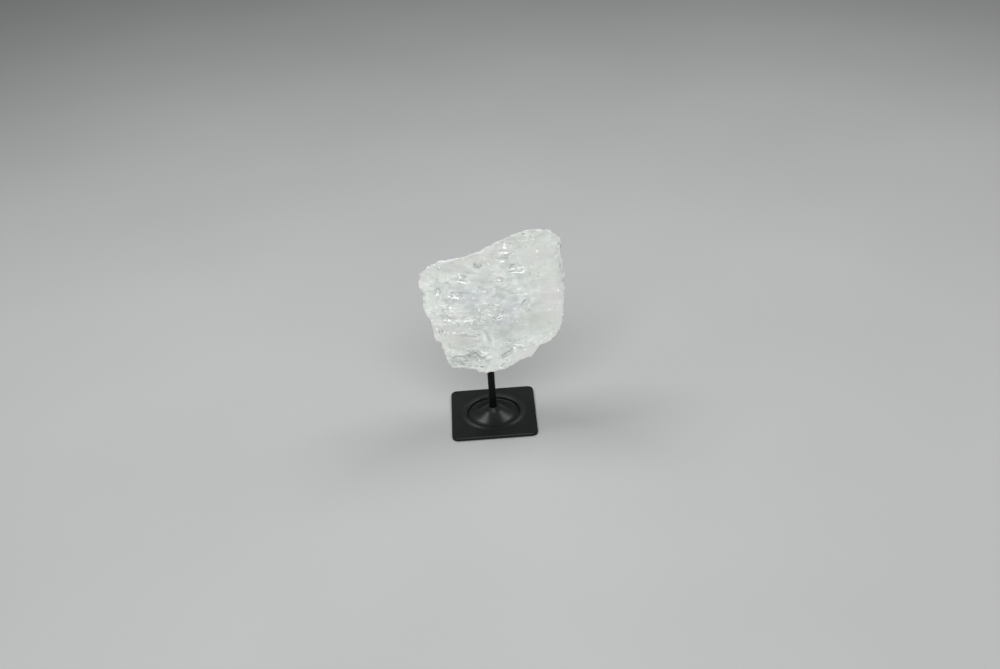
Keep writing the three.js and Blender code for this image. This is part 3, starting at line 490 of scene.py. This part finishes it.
def flats(points, seed):
    """Flat broken facets: at each point the nearest cell's own tilt and height."""
    low = np.floor(points).astype(np.int64)
    size = points.shape[1]
    best = np.full(len(points), np.inf)
    value = np.zeros(len(points))
    for step in np.ndindex(*(3,) * size):
        cell = low + np.array(step) - 1
        seat = np.stack([scatter(cell, seed + k) for k in range(size)], axis=1)
        tilt = np.stack([scatter(cell, seed + 5 + k) for k in range(size)], axis=1) * 2 - 1
        height = scatter(cell, seed + 11) * 2 - 1
        arm = points - cell - seat
        reach = np.sum(arm ** 2, axis=1)
        nearer = reach < best
        best[nearer] = reach[nearer]
        value[nearer] = (np.sum(arm * tilt, axis=1) + 0.5 * height)[nearer]
    return value


def ease(value, low, high):
    """0 below low, 1 above high, smooth between."""
    t = np.clip((value - low) / (high - low), 0, 1)
    return t * t * (3 - 2 * t)


def scaled(kind, points, values, *more):
    """Unevenness of a kind, from its depth, size and seed."""
    depth, size, seed = values
    return depth * kind(points / size, seed, *more)


def patchy(points, values, *more):
    """0 outside the patches where an unevenness is high, and 1 inside them."""
    size, (low, high), seed = values
    return ease(layered(points / size, seed, *more), low, high)


# ------------------------------------------------------------------ meshes

def add_object(name, data):
    thing = bpy.data.objects.new(name, data)
    bpy.context.scene.collection.objects.link(thing)
    return thing


def smooth_shading(mesh, angle):
    """Smooth across gentle edges, crisp across ones sharper than the angle in degrees."""
    mesh.polygons.foreach_set("use_smooth", np.ones(len(mesh.polygons), bool))
    shape = bmesh.new()
    shape.from_mesh(mesh)
    for edge in shape.edges:
        edge.smooth = len(edge.link_faces) == 2 and edge.calc_face_angle(0) < math.radians(angle)
    shape.to_mesh(mesh)
    shape.free()


def add_attribute(mesh, name, values):
    attribute = mesh.attributes.new(name, "FLOAT", "POINT")
    attribute.data.foreach_set("value", values.astype(np.float32))


def skin(name, rings):
    """A closed skin through rings of points, with a flat cap at each end."""
    count = len(rings[0])
    points = [p for ring in rings for p in ring]
    faces = []
    for k in range(len(rings) - 1):
        for i in range(count):
            a, b = k * count + i, k * count + (i + 1) % count
            faces.append((a, b, b + count, a + count))
    faces.append(tuple(reversed(range(count))))
    last = (len(rings) - 1) * count
    faces.append(tuple(range(last, last + count)))
    mesh = bpy.data.meshes.new(name)
    mesh.from_pydata([Vector(p) * MM for p in points], [], faces)
    mesh.update()
    return mesh


def circle(radius, height, count):
    turn = 2 * math.pi / count
    return [(radius * math.cos(turn * k), radius * math.sin(turn * k), height) for k in range(count)]


def rounded_square(half, corner, height, count):
    """A rounded square's points, each at the same turn about the middle as a circle's."""
    points = []
    for k in range(count):
        angle = 2 * math.pi * k / count
        ax, ay = math.cos(angle), math.sin(angle)
        reach = half - corner
        flat = half / max(abs(ax), abs(ay))
        x, y = abs(ax * flat), abs(ay * flat)
        if x > reach and y > reach:
            along = (abs(ax) + abs(ay)) * reach
            apart = 2 * reach ** 2 - corner ** 2
            flat = along + math.sqrt(max(0, along ** 2 - apart))
        points.append((ax * flat, ay * flat, height))
    return points


def softened(profile):
    """A profile with points evenly along it, and its corners rounded a little."""
    corners = np.array(profile)
    lengths = np.linalg.norm(np.diff(corners, axis=0), axis=1)
    along = np.concatenate([[0], np.cumsum(lengths)])
    places = np.linspace(0, along[-1], int(along[-1] / PROFILE_STEP))
    line = np.stack([np.interp(places, along, corners[:, k]) for k in (0, 1)], axis=1)
    for _ in range(PROFILE_SOFTEN):
        line[1:-1] = (line[:-2] + 2 * line[1:-1] + line[2:]) / 4
    return line


def base_plate_mesh():
    half, inner = PLATE_WIDTH / 2, PLATE_WIDTH / 2 - CHAMFER_IN
    inner_corner = PLATE_CORNER - CHAMFER_IN
    turned = [
        (CAP_RADIUS, SOCKET_FLOOR), (SOCKET_RADIUS, SOCKET_FLOOR),
        (SOCKET_RADIUS, CONE_TOP - SOCKET_EASE), (SOCKET_RADIUS + SOCKET_EASE, CONE_TOP),
        *softened(RAISED_PROFILE),
    ]
    rings = [circle(radius, height, ROUND_SIDES) for radius, height in turned]
    outline = [rounded_square(*values, ROUND_SIDES) for values in (
        (inner, inner_corner, PLATE_THICKNESS), (half, PLATE_CORNER, PLATE_THICKNESS - CHAMFER_DOWN),
        (half, PLATE_CORNER, CHAMFER_DOWN), (inner, inner_corner, 0))]
    rim, edge = np.array(rings[-1]), np.array(outline[0])
    rings += [[tuple(p) for p in rim + (edge - rim) * share] for share in FLAT_RINGS]
    rings += outline
    rings += [circle(radius, 0, ROUND_SIDES) for radius in (RAISED_PROFILE[-1][0], CAP_RADIUS)]
    rings = [list(reversed(ring)) for ring in rings]
    mesh = skin("base_plate_fine", rings)
    places = np.array([p for ring in rings for p in ring])
    around = np.hypot(places[:, 0], places[:, 1])
    # Where painted shade darkens the groove, and where it is rougher.
    painted_groove_shade = ease(around, *GROOVE_IN) * (1 - ease(around, *GROOVE_OUT)) * ease(places[:, 2], *GROOVE_UP)
    add_attribute(mesh, "painted_groove_shade", painted_groove_shade)
    smooth_shading(mesh, METAL_SMOOTH_ANGLE)
    return mesh


def rod_mesh():
    inner = ROD_RADIUS - ROD_CHAMFER
    turned = [
        (inner, ROD_BOTTOM), (ROD_RADIUS, ROD_BOTTOM + ROD_CHAMFER),
        *((ROD_RADIUS, height) for height in ROD_RINGS),
        (ROD_RADIUS, ROD_TOP - ROD_CHAMFER), (inner, ROD_TOP),
    ]
    mesh = skin("rod_fine", [circle(radius, height, ROD_SIDES) for radius, height in turned])
    smooth_shading(mesh, METAL_SMOOTH_ANGLE)
    return mesh


# ------------------------------------------------------------------ crystal

def remeshed(source, name):
    """A copy of a mesh as small even squares, softened a little."""
    rough = add_object(name + "_rough", source.copy())
    remesh = rough.modifiers.new("even", "REMESH")
    remesh.mode = "VOXEL"
    remesh.voxel_size = VOXEL * MM
    soften = rough.modifiers.new("soften", "SMOOTH")
    soften.factor = SOFTEN_FACTOR
    soften.iterations = SOFTEN_ROUNDS
    graph = bpy.context.evaluated_depsgraph_get()
    mesh = bpy.data.meshes.new_from_object(rough.evaluated_get(graph))
    mesh.name = name
    bpy.data.objects.remove(rough)
    return mesh


def to_face(points, normals):
    """Points in millimetres across, up and out of the broad face, and their normals."""
    turn = np.stack([FACE_ACROSS, FACE_UP, FACE_OUT], axis=1)
    return (points - FACE_FOOT) @ turn, normals @ turn


def growth_steps(place, spacing, seed):
    """Growth lines across the face: each strip leans out a little towards its lower edge."""
    level = place[:, 1] - LEDGE_SLOPE * place[:, 0]
    level = level + STRIP_WANDER * uneven(place[:, :2] / STRIP_WANDER_SIZE, seed)
    draw = np.random.default_rng(seed)
    stops = np.cumsum(draw.uniform(*STRIP_WIDTHS, STRIPS) * spacing) + STRIP_START
    heights = draw.uniform(*STRIP_HEIGHTS, STRIPS)
    strip = np.clip(np.searchsorted(stops, level) - 1, 0, STRIPS - 2)
    share = (level - stops[strip]) / (stops[strip + 1] - stops[strip])
    return (share - 0.5) * heights[strip]


def marks(place, entries, lean):
    """Small patches on the face: how strongly each point belongs to one, and its relief."""
    shade = np.zeros(len(place))
    relief = np.zeros(len(place))
    stray_u, stray_w = (
        far * uneven(place[:, :2] / MARK_WANDER_SIZE, seed)
        for far, seed in zip(MARK_WANDER, MARK_WANDER_SEEDS))
    for u, w, long, high, turn, strength in entries:
        long, high = max(long, MARK_LEAST), max(high, MARK_LEAST)
        # Past this reach a mark has faded to nothing.
        reach = 2.5 * max(long, high) + 1
        near = (np.abs(place[:, 0] - u) < reach) & (np.abs(place[:, 1] - w) < reach)
        angle = math.radians(turn) + math.atan(LEDGE_SLOPE)
        du, dw = place[near, 0] - u + stray_u[near], place[near, 1] - w + stray_w[near]
        x = (du * math.cos(angle) + dw * math.sin(angle)) / long
        y = (-du * math.sin(angle) + dw * math.cos(angle)) / high
        inside = 1 - ease(np.maximum(np.abs(x + MARK_SLANT * y), np.abs(y)), *MARK_FADE)
        shade[near] = np.maximum(shade[near], inside * strength)
        rise = min(high, MARK_MOST_RISE)
        tilt = -np.clip(y, -MARK_TILT_REACH, MARK_TILT_REACH)
        relief[near] += inside * strength * rise * (lean * tilt - (1 - lean))
    return shade, relief


def sparkle_entries():
    """Small glints and pits scattered over the face, thickest in the sparkle fields."""
    bright, dull = [], []
    draw = np.random.default_rng(SPARKLE_SEED)
    for across in np.arange(*SPARKLE_ACROSS, SPARKLE_CELL[0]):
        for up in np.arange(*SPARKLE_UP, SPARKLE_CELL[1]):
            u, w = (at + draw.uniform(-far, far) for at, far in zip((across, up), GLINT_STRAY))
            long, high = draw.uniform(*GLINT_LONG), draw.uniform(*GLINT_HIGH)
            turn, strength = draw.uniform(*GLINT_TURN), draw.uniform(*GLINT_STRENGTH)
            chance, kind = draw.random(), draw.random()
            share = sum(
                most * math.exp(-((u - x) / a) ** 2 - ((w - y) / b) ** 2)
                for x, y, a, b, most in SPARKLE_FIELDS)
            if chance < SPARKLE_BASE + SPARKLE_SHARE * share:
                (bright if kind < BRIGHT_SHARE else dull).append((u, w, long, high, turn, strength))
    return bright, dull


def sparkle(place):
    """How thickly the glints crowd at each point of the face."""
    shade = np.zeros(len(place))
    for u, w, across, up, most in SPARKLE_FIELDS:
        away = ((place[:, 0] - u) / across) ** 2 + ((place[:, 1] - w) / up) ** 2
        shade = np.maximum(shade, most * np.exp(-away))
    return shade


def nudged(place):
    """How far the outline's small breaks move each point, across and up the face."""
    shift = np.zeros((len(place), 2))
    for u, w, reach, push, toward in NUDGES:
        away = np.hypot(place[:, 0] - u, place[:, 1] - w) / reach
        way = np.array([math.cos(math.radians(toward)), math.sin(math.radians(toward))])
        shift += (push * np.exp(-away ** 2))[:, None] * way
    return shift


def tint(place, patches, seed):
    """How strongly each point of the face belongs to some cloudy patches."""
    stray_u, stray_w = (
        far * layered(place / TINT_WANDER_SIZE, seed + 10 * k) for k, far in enumerate(TINT_WANDER))
    shade = np.zeros(len(place))
    for u, w, across, up, strength in patches:
        away = ((place[:, 0] + stray_u - u) / across) ** 2 + ((place[:, 1] + stray_w - w) / up) ** 2
        shade = np.maximum(shade, strength * np.exp(-TINT_FADE * away))
    return shade


def veils(place):
    """Curved bands inside the stone: pale ones above 0, dull ones below."""
    shade = np.zeros(len(place))
    stray = scaled(uneven, place[:, :2], VEIL_WANDER)
    for u, w, radius, width, low, high, strength in VEILS:
        du, dw = place[:, 0] - u, place[:, 1] - w
        off = (np.hypot(du, dw) + stray - radius) / width
        angle = np.degrees(np.arctan2(dw, du)) % 360
        middle, half = (low + high) / 2 % 360, (high - low) / 2
        apart = np.abs((angle - middle + 180) % 360 - 180)
        shade += strength * np.exp(-off ** 2) * (1 - ease(apart, *(end * half for end in VEIL_ENDS)))
    return np.clip(shade * (VEIL_WEAR_LEAST + scaled(layered, place, VEIL_WEAR, 2)), -1, 1)


def blurred(mesh, values, rounds):
    """Values at the vertices, each averaged with its neighbours a number of times."""
    ends = np.zeros(len(mesh.edges) * 2, np.int32)
    mesh.edges.foreach_get("vertices", ends)
    ends = ends.reshape(-1, 2)
    count = np.bincount(ends.ravel(), minlength=len(values))
    for _ in range(rounds):
        total = np.bincount(ends[:, 0], values[ends[:, 1]], len(values))
        total += np.bincount(ends[:, 1], values[ends[:, 0]], len(values))
        values = (values + total) / (1 + count)
    return values


def face_relief(place, quiet):
    """Growth steps, flats and grain of the broad face, in millimetres."""
    flat_place = place[:, :2]
    patches, fine_patches = patchy(flat_place, PATCHES), patchy(flat_place, FINE_PATCHES)
    steps = np.zeros(len(place))
    for where, (depth, spacing, seed) in ((patches, STEPS), (fine_patches, FINE_STEPS)):
        steps += depth * where * growth_steps(place, spacing, seed)
    blocks = scaled(flats, flat_place, BLOCKS) + fine_patches * scaled(flats, flat_place, FINE_BLOCKS)
    blocks *= BLOCKS_OFF_PATCHES + (1 - BLOCKS_OFF_PATCHES) * patches
    return (steps + blocks + scaled(layered, place, GRAIN)) * quiet


def broken_relief(points):
    """Flat breaks, grain and ripples of the back and the sides, in millimetres."""
    relief = scaled(flats, points, BREAKS) + scaled(flats, points, FINE_BREAKS)
    relief += scaled(layered, points, BREAK_GRAIN)
    away = np.linalg.norm(points - RIPPLE_MIDDLE, axis=1)
    return relief + RIPPLE_DEPTH * np.sin(away / RIPPLE_SPACING) * patchy(points, RIPPLE_PATCHES)


def crystal_object(node):
    """The crystal's own solid with its relief pushed into it, and shades for its material."""
    mesh = remeshed(node.data, "crystal_fine")
    points = np.zeros(len(mesh.vertices) * 3)
    normals = np.zeros(len(mesh.vertices) * 3)
    mesh.vertices.foreach_get("co", points)
    mesh.vertices.foreach_get("normal", normals)
    points, normals = points.reshape(-1, 3) / MM, normals.reshape(-1, 3)
    place, facing = to_face(points, normals)
    flat_place = place[:, :2]

    front = ease(facing[:, 2], *FRONT_FACING)
    skirt = ease(facing[:, 2], *SKIRT_FACING)
    bore = 1 - ease(np.hypot(points[:, 0], points[:, 1]), *BORE_KEPT)
    bore = bore * (points[:, 2] < ROD_TOP + BORE_KEPT_OVER)
    cloudy = {
        name: tint(place, patches, TINT_SEED + TINT_SEED_STEP * k)
        for k, (name, patches) in enumerate(TINTS.items())}
    quiet = 1 - CALM_SHARE * cloudy["calm"]

    glints, dimples = sparkle_entries()
    # The flakes are raised in the face, and painted glints whiten them.
    flake_glint, flake_relief = marks(place, FLAKES + glints, FLAKE_LEAN)
    # The pits sink into the face, and painted shade darkens them.
    shaded_pit, pit_relief = marks(place, PITS + dimples, PIT_LEAN)
    on_front = face_relief(place, quiet) + FLAKE_RISE * flake_relief + PIT_DEPTH * pit_relief
    lift = (front * on_front + (1 - front) * broken_relief(points)) * (1 - bore)
    shift = nudged(place) * (1 - bore)[:, None]
    points = points + normals * lift[:, None]
    points += np.outer(shift[:, 0], FACE_ACROSS) + np.outer(shift[:, 1], FACE_UP)
    mesh.vertices.foreach_set("co", (points * MM).ravel())

    # Painted shade on the upward-facing sides of steps, broken up in patches.
    shaded_riser = ease(blurred(mesh, facing[:, 1], RISER_BLUR), *RISER_FACING) * front
    shaded_riser *= patchy(flat_place, RISER_PATCHES, 2)
    facet = scaled(flats, flat_place, FACETS) + scaled(layered, place, FACET_CLOUDS, 2)
    facet += scaled(flats, flat_place, BROAD_FACETS)
    edge = blurred(mesh, front, RIM_BLUR)
    shades = {
        "flake_glint": flake_glint * front, "shaded_pit": shaded_pit * skirt, "rim": 4 * edge * (1 - edge), "shaded_riser": shaded_riser,
        "facet": blurred(mesh, facet, FACET_BLUR) * quiet, "veil": veils(place) * front,
        "sparkle": sparkle(place) * front,
    }
    shades.update({name: values * skirt for name, values in cloudy.items()})
    for name, values in shades.items():
        add_attribute(mesh, name, values)
    mesh.update()
    smooth_shading(mesh, QUARTZ_SMOOTH_ANGLE)
    return add_object("crystal_fine", mesh)


# ------------------------------------------------------------------ materials

BLACK, WHITE = (0, 0, 0), (1, 1, 1)


def new_material(name):
    material = bpy.data.materials.new(name)
    material.use_nodes = True
    tree = material.node_tree
    tree.nodes.clear()
    output = tree.nodes.new("ShaderNodeOutputMaterial")
    shader = tree.nodes.new("ShaderNodeBsdfPrincipled")
    tree.links.new(shader.outputs["BSDF"], output.inputs["Surface"])
    return material, tree, shader


def set_inputs(node, values):
    for key, value in values.items():
        node.inputs[key].default_value = value


def noise(tree, scale, detail=3.0, stretch=(1, 1, 1), distortion=0.0):
    """Noise in object coordinates; scale is in lumps per metre."""
    place = tree.nodes.new("ShaderNodeTexCoord")
    mapping = tree.nodes.new("ShaderNodeMapping")
    set_inputs(mapping, {"Scale": stretch})
    texture = tree.nodes.new("ShaderNodeTexNoise")
    set_inputs(texture, {"Scale": scale, "Detail": detail, "Distortion": distortion})
    tree.links.new(place.outputs["Object"], mapping.inputs["Vector"])
    tree.links.new(mapping.outputs["Vector"], texture.inputs["Vector"])
    return texture.outputs["Fac"]


def ramp(tree, fac, stops):
    """A colour ramp through (position, colour) stops."""
    node = tree.nodes.new("ShaderNodeValToRGB")
    elements = node.color_ramp.elements
    while len(elements) < len(stops):
        elements.new(0.5)
    for element, (position, colour) in zip(elements, stops):
        element.position = position
        element.color = (*colour, 1)
    tree.links.new(fac, node.inputs["Fac"])
    return node.outputs["Color"]


def fade(tree, fac, low, high):
    """0 below low, 1 above high."""
    return ramp(tree, fac, [(low, BLACK), (high, WHITE)])


def connect(tree, node, key, value):
    """A socket is linked to an input of a node, and a plain value is set on it."""
    if isinstance(value, bpy.types.NodeSocket):
        tree.links.new(value, node.inputs[key])
    else:
        node.inputs[key].default_value = value


def laid_on(tree, body, colour, amount, share):
    """A colour over the body, where and as far as the amount and the share say."""
    node = tree.nodes.new("ShaderNodeMix")
    node.data_type = "RGBA"
    # These are the factor, A and B of a mix of colours.
    connect(tree, node, 0, maths(tree, "MULTIPLY", amount, share))
    connect(tree, node, 6, body)
    connect(tree, node, 7, (*colour, 1))
    return node.outputs[2]


def maths(tree, operation, a, b):
    node = tree.nodes.new("ShaderNodeMath")
    node.operation = operation
    connect(tree, node, 0, a)
    connect(tree, node, 1, b)
    return node.outputs[0]


def above(tree, value):
    """How far a value lies above 0."""
    return maths(tree, "MAXIMUM", value, 0)


def below(tree, value):
    """How far a value lies below 0."""
    return above(tree, maths(tree, "MULTIPLY", value, -1))


def spread(tree, value, low, high):
    """A 0 to 1 value as one from low to high."""
    node = tree.nodes.new("ShaderNodeMapRange")
    set_inputs(node, {"To Min": low, "To Max": high})
    tree.links.new(value, node.inputs["Value"])
    return node.outputs["Result"]


def attribute(tree, name):
    node = tree.nodes.new("ShaderNodeAttribute")
    node.attribute_name = name
    return node.outputs["Fac"]


def bump(tree, shader, height, strength, distance):
    node = tree.nodes.new("ShaderNodeBump")
    set_inputs(node, {"Strength": strength, "Distance": distance})
    tree.links.new(height, node.inputs["Height"])
    tree.links.new(node.outputs["Normal"], shader.inputs["Normal"])


def layer_amounts(tree):
    """Where each layer of the quartz lies, from the mesh's shades and fine noise."""
    amounts = {name: attribute(tree, name) for name in (*TINTS, "rim", "shaded_riser")}
    busy = spread(tree, amounts["calm"], BUSY, CALM)
    glitter = attribute(tree, "sparkle")
    facet, veil = attribute(tree, "facet"), attribute(tree, "veil")

    def where_busy(amount):
        return maths(tree, "MULTIPLY", amount, busy)

    def threads(scale, stretch, width, patches):
        """Thin wandering lines, where a noise passes its middle value, in patches."""
        away = maths(tree, "SUBTRACT", noise(tree, scale, 2, stretch, 0.3), 0.5)
        lines = ramp(tree, maths(tree, "ABSOLUTE", away, 0), [(0.0, WHITE), (width, BLACK)])
        return where_busy(maths(tree, "MULTIPLY", lines, noise(tree, patches, 2)))

    def specks(scale, crowding, low, high):
        """Specks too small to be marks, thickest where the glints crowd."""
        level = noise(tree, scale, 3, SPECK_STRETCH)
        level = maths(tree, "ADD", level, maths(tree, "MULTIPLY", glitter, crowding))
        return where_busy(fade(tree, level, low, high))

    def frayed(name, scale, low, high):
        """A patch whose edges a fine noise breaks up."""
        fray = spread(tree, noise(tree, scale, 4), -FRAY, FRAY)
        return fade(tree, maths(tree, "ADD", attribute(tree, name), fray), low, high)

    amounts.update({
        "pale_facet": above(tree, facet),
        "dark_facet": below(tree, facet),
        "mottle": where_busy(fade(tree, noise(tree, *MOTTLE_NOISE), *MOTTLE_FADE)),
        "line": threads(*LINES),
        "crack": threads(*CRACKS),
        "pale_veil": above(tree, veil),
        "dark_veil": below(tree, veil),
        "dark_speck": specks(*DARK_SPECKS),
        "shaded_pit": frayed("shaded_pit", *PIT_EDGE),
        "painted_glint_speck": specks(*GLINT_SPECKS),
        "flake_glint": frayed("flake_glint", *FLAKE_EDGE),
    })
    return amounts


def quartz_material():
    material, tree, shader = new_material("milky_quartz")
    amounts = layer_amounts(tree)
    body = ramp(tree, noise(tree, *BODY_NOISE), BODY_COLOURS)
    for name, (share, colour) in LAYERS.items():
        body = laid_on(tree, body, colour, amounts[name], share)
    tree.links.new(body, shader.inputs["Base Color"])
    rough = spread(tree, noise(tree, *ROUGHNESS_NOISE), *QUARTZ_ROUGHNESS)
    glossier = maths(tree, "MULTIPLY", amounts["flake_glint"], FLAKE_GLOSSIER)
    rougher = maths(tree, "MULTIPLY", amounts["shaded_riser"], RISER_ROUGHER)
    rough = maths(tree, "ADD", maths(tree, "SUBTRACT", rough, glossier), rougher)
    tree.links.new(rough, shader.inputs["Roughness"])
    set_inputs(shader, {
        "IOR": QUARTZ_IOR, "Subsurface Weight": MILKINESS, "Subsurface Radius": SCATTER_RADIUS,
        "Subsurface Scale": SCATTER_DEPTH,
    })
    coarse = maths(tree, "MULTIPLY", noise(tree, *COARSE_NOISE), COARSE_SHARE)
    grain = maths(tree, "ADD", noise(tree, *FINE_NOISE), coarse)
    bump(tree, shader, grain, *QUARTZ_BUMP)
    return material


def black_metal(name, lumps, gloss):
    material, tree, shader = new_material(name)
    # Painted shade darkens the groove's black, and the groove is rougher there.
    painted_groove_shade = attribute(tree, "painted_groove_shade")
    tone = laid_on(tree, ramp(tree, noise(tree, lumps, 3), BLACK_TONES), GROOVE_SHADE_TONE, painted_groove_shade, GROOVE_SHADE_SHARE)
    tree.links.new(tone, shader.inputs["Base Color"])
    rough = spread(tree, noise(tree, lumps * 5, 4), *BLACK_ROUGHNESS)
    rough = maths(tree, "ADD", rough, maths(tree, "MULTIPLY", painted_groove_shade, GROOVE_ROUGHER))
    tree.links.new(rough, shader.inputs["Roughness"])
    set_inputs(shader, {"IOR": BLACK_IOR, "Specular IOR Level": gloss})
    bump(tree, shader, noise(tree, lumps * 14, 3), *BLACK_BUMP)
    return material


def floor_material():
    material, tree, shader = new_material("pale_floor")
    tone = ramp(tree, noise(tree, 3, 2), FLOOR_TONES)
    tree.links.new(tone, shader.inputs["Base Color"])
    set_inputs(shader, {"Roughness": FLOOR_ROUGHNESS})
    return material


# ------------------------------------------------------------------ studio

def add_camera():
    down, right, roll = (math.radians(a) for a in (CAMERA_DOWN, CAMERA_TO_RIGHT, CAMERA_ROLL))
    ahead = Vector((math.cos(down) * math.sin(right), math.cos(down) * math.cos(right), -math.sin(down)))
    level = ahead.cross(Vector((0, 0, 1))).normalized()
    top = level.cross(ahead)
    side = level * math.cos(roll) - top * math.sin(roll)
    top = level * math.sin(roll) + top * math.cos(roll)
    data = bpy.data.cameras.new("camera")
    data.lens = LENS
    data.sensor_width = SENSOR
    data.sensor_fit = "HORIZONTAL"
    camera = add_object("camera", data)
    turn = Matrix((side, top, -ahead)).transposed()
    camera.matrix_world = Matrix.Translation(CAMERA_AT) @ turn.to_4x4()
    bpy.context.scene.camera = camera


def add_light(name, direction, distance, size, power):
    data = bpy.data.lights.new(name, "AREA")
    data.shape = "RECTANGLE"
    data.size, data.size_y = size
    data.energy = power
    light = add_object(name, data)
    way = Vector(direction).normalized()
    light.location = Vector(LIGHT_AIM) + way * distance
    light.rotation_euler = way.to_track_quat("Z", "Y").to_euler()


def add_studio():
    shape = bpy.data.meshes.new("floor")
    corners = [(x * FLOOR_REACH, y * FLOOR_REACH, 0) for x, y in ((-1, -1), (1, -1), (1, 1), (-1, 1))]
    shape.from_pydata(corners, [], [(0, 1, 2, 3)])
    shape.materials.append(floor_material())
    add_object("floor", shape)
    for light in LIGHTS:
        add_light(*light)
    world = bpy.data.worlds.new("studio")
    world.use_nodes = True
    background = world.node_tree.nodes["Background"]
    set_inputs(background, {"Color": (*WORLD_COLOUR, 1), "Strength": WORLD_STRENGTH})
    bpy.context.scene.world = world
    bpy.context.scene.view_settings.view_transform = "Standard"


# ------------------------------------------------------------------ the scene

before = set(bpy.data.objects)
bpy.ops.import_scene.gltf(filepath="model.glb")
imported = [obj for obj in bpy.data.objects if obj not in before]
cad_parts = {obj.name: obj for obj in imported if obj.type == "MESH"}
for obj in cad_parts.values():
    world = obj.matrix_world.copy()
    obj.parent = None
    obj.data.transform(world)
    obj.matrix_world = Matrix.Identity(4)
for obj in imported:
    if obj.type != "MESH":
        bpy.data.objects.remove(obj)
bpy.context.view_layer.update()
add_camera()
add_studio()

crystal = crystal_object(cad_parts["crystal"])
crystal.data.materials.clear()
crystal.data.materials.append(quartz_material())
plate = add_object("base_plate_fine", base_plate_mesh())
plate.data.materials.append(black_metal("black_plate", PLATE_LUMPS, PLATE_GLOSS))
rod = add_object("rod_fine", rod_mesh())
rod.data.materials.append(black_metal("black_rod", ROD_LUMPS, ROD_GLOSS))
for piece, node, slot in (
    (crystal, "crystal", "quartz"), (plate, "base_plate", "black_metal"), (rod, "rod", "black_metal"),
):
    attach(piece, "root")
    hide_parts(node)
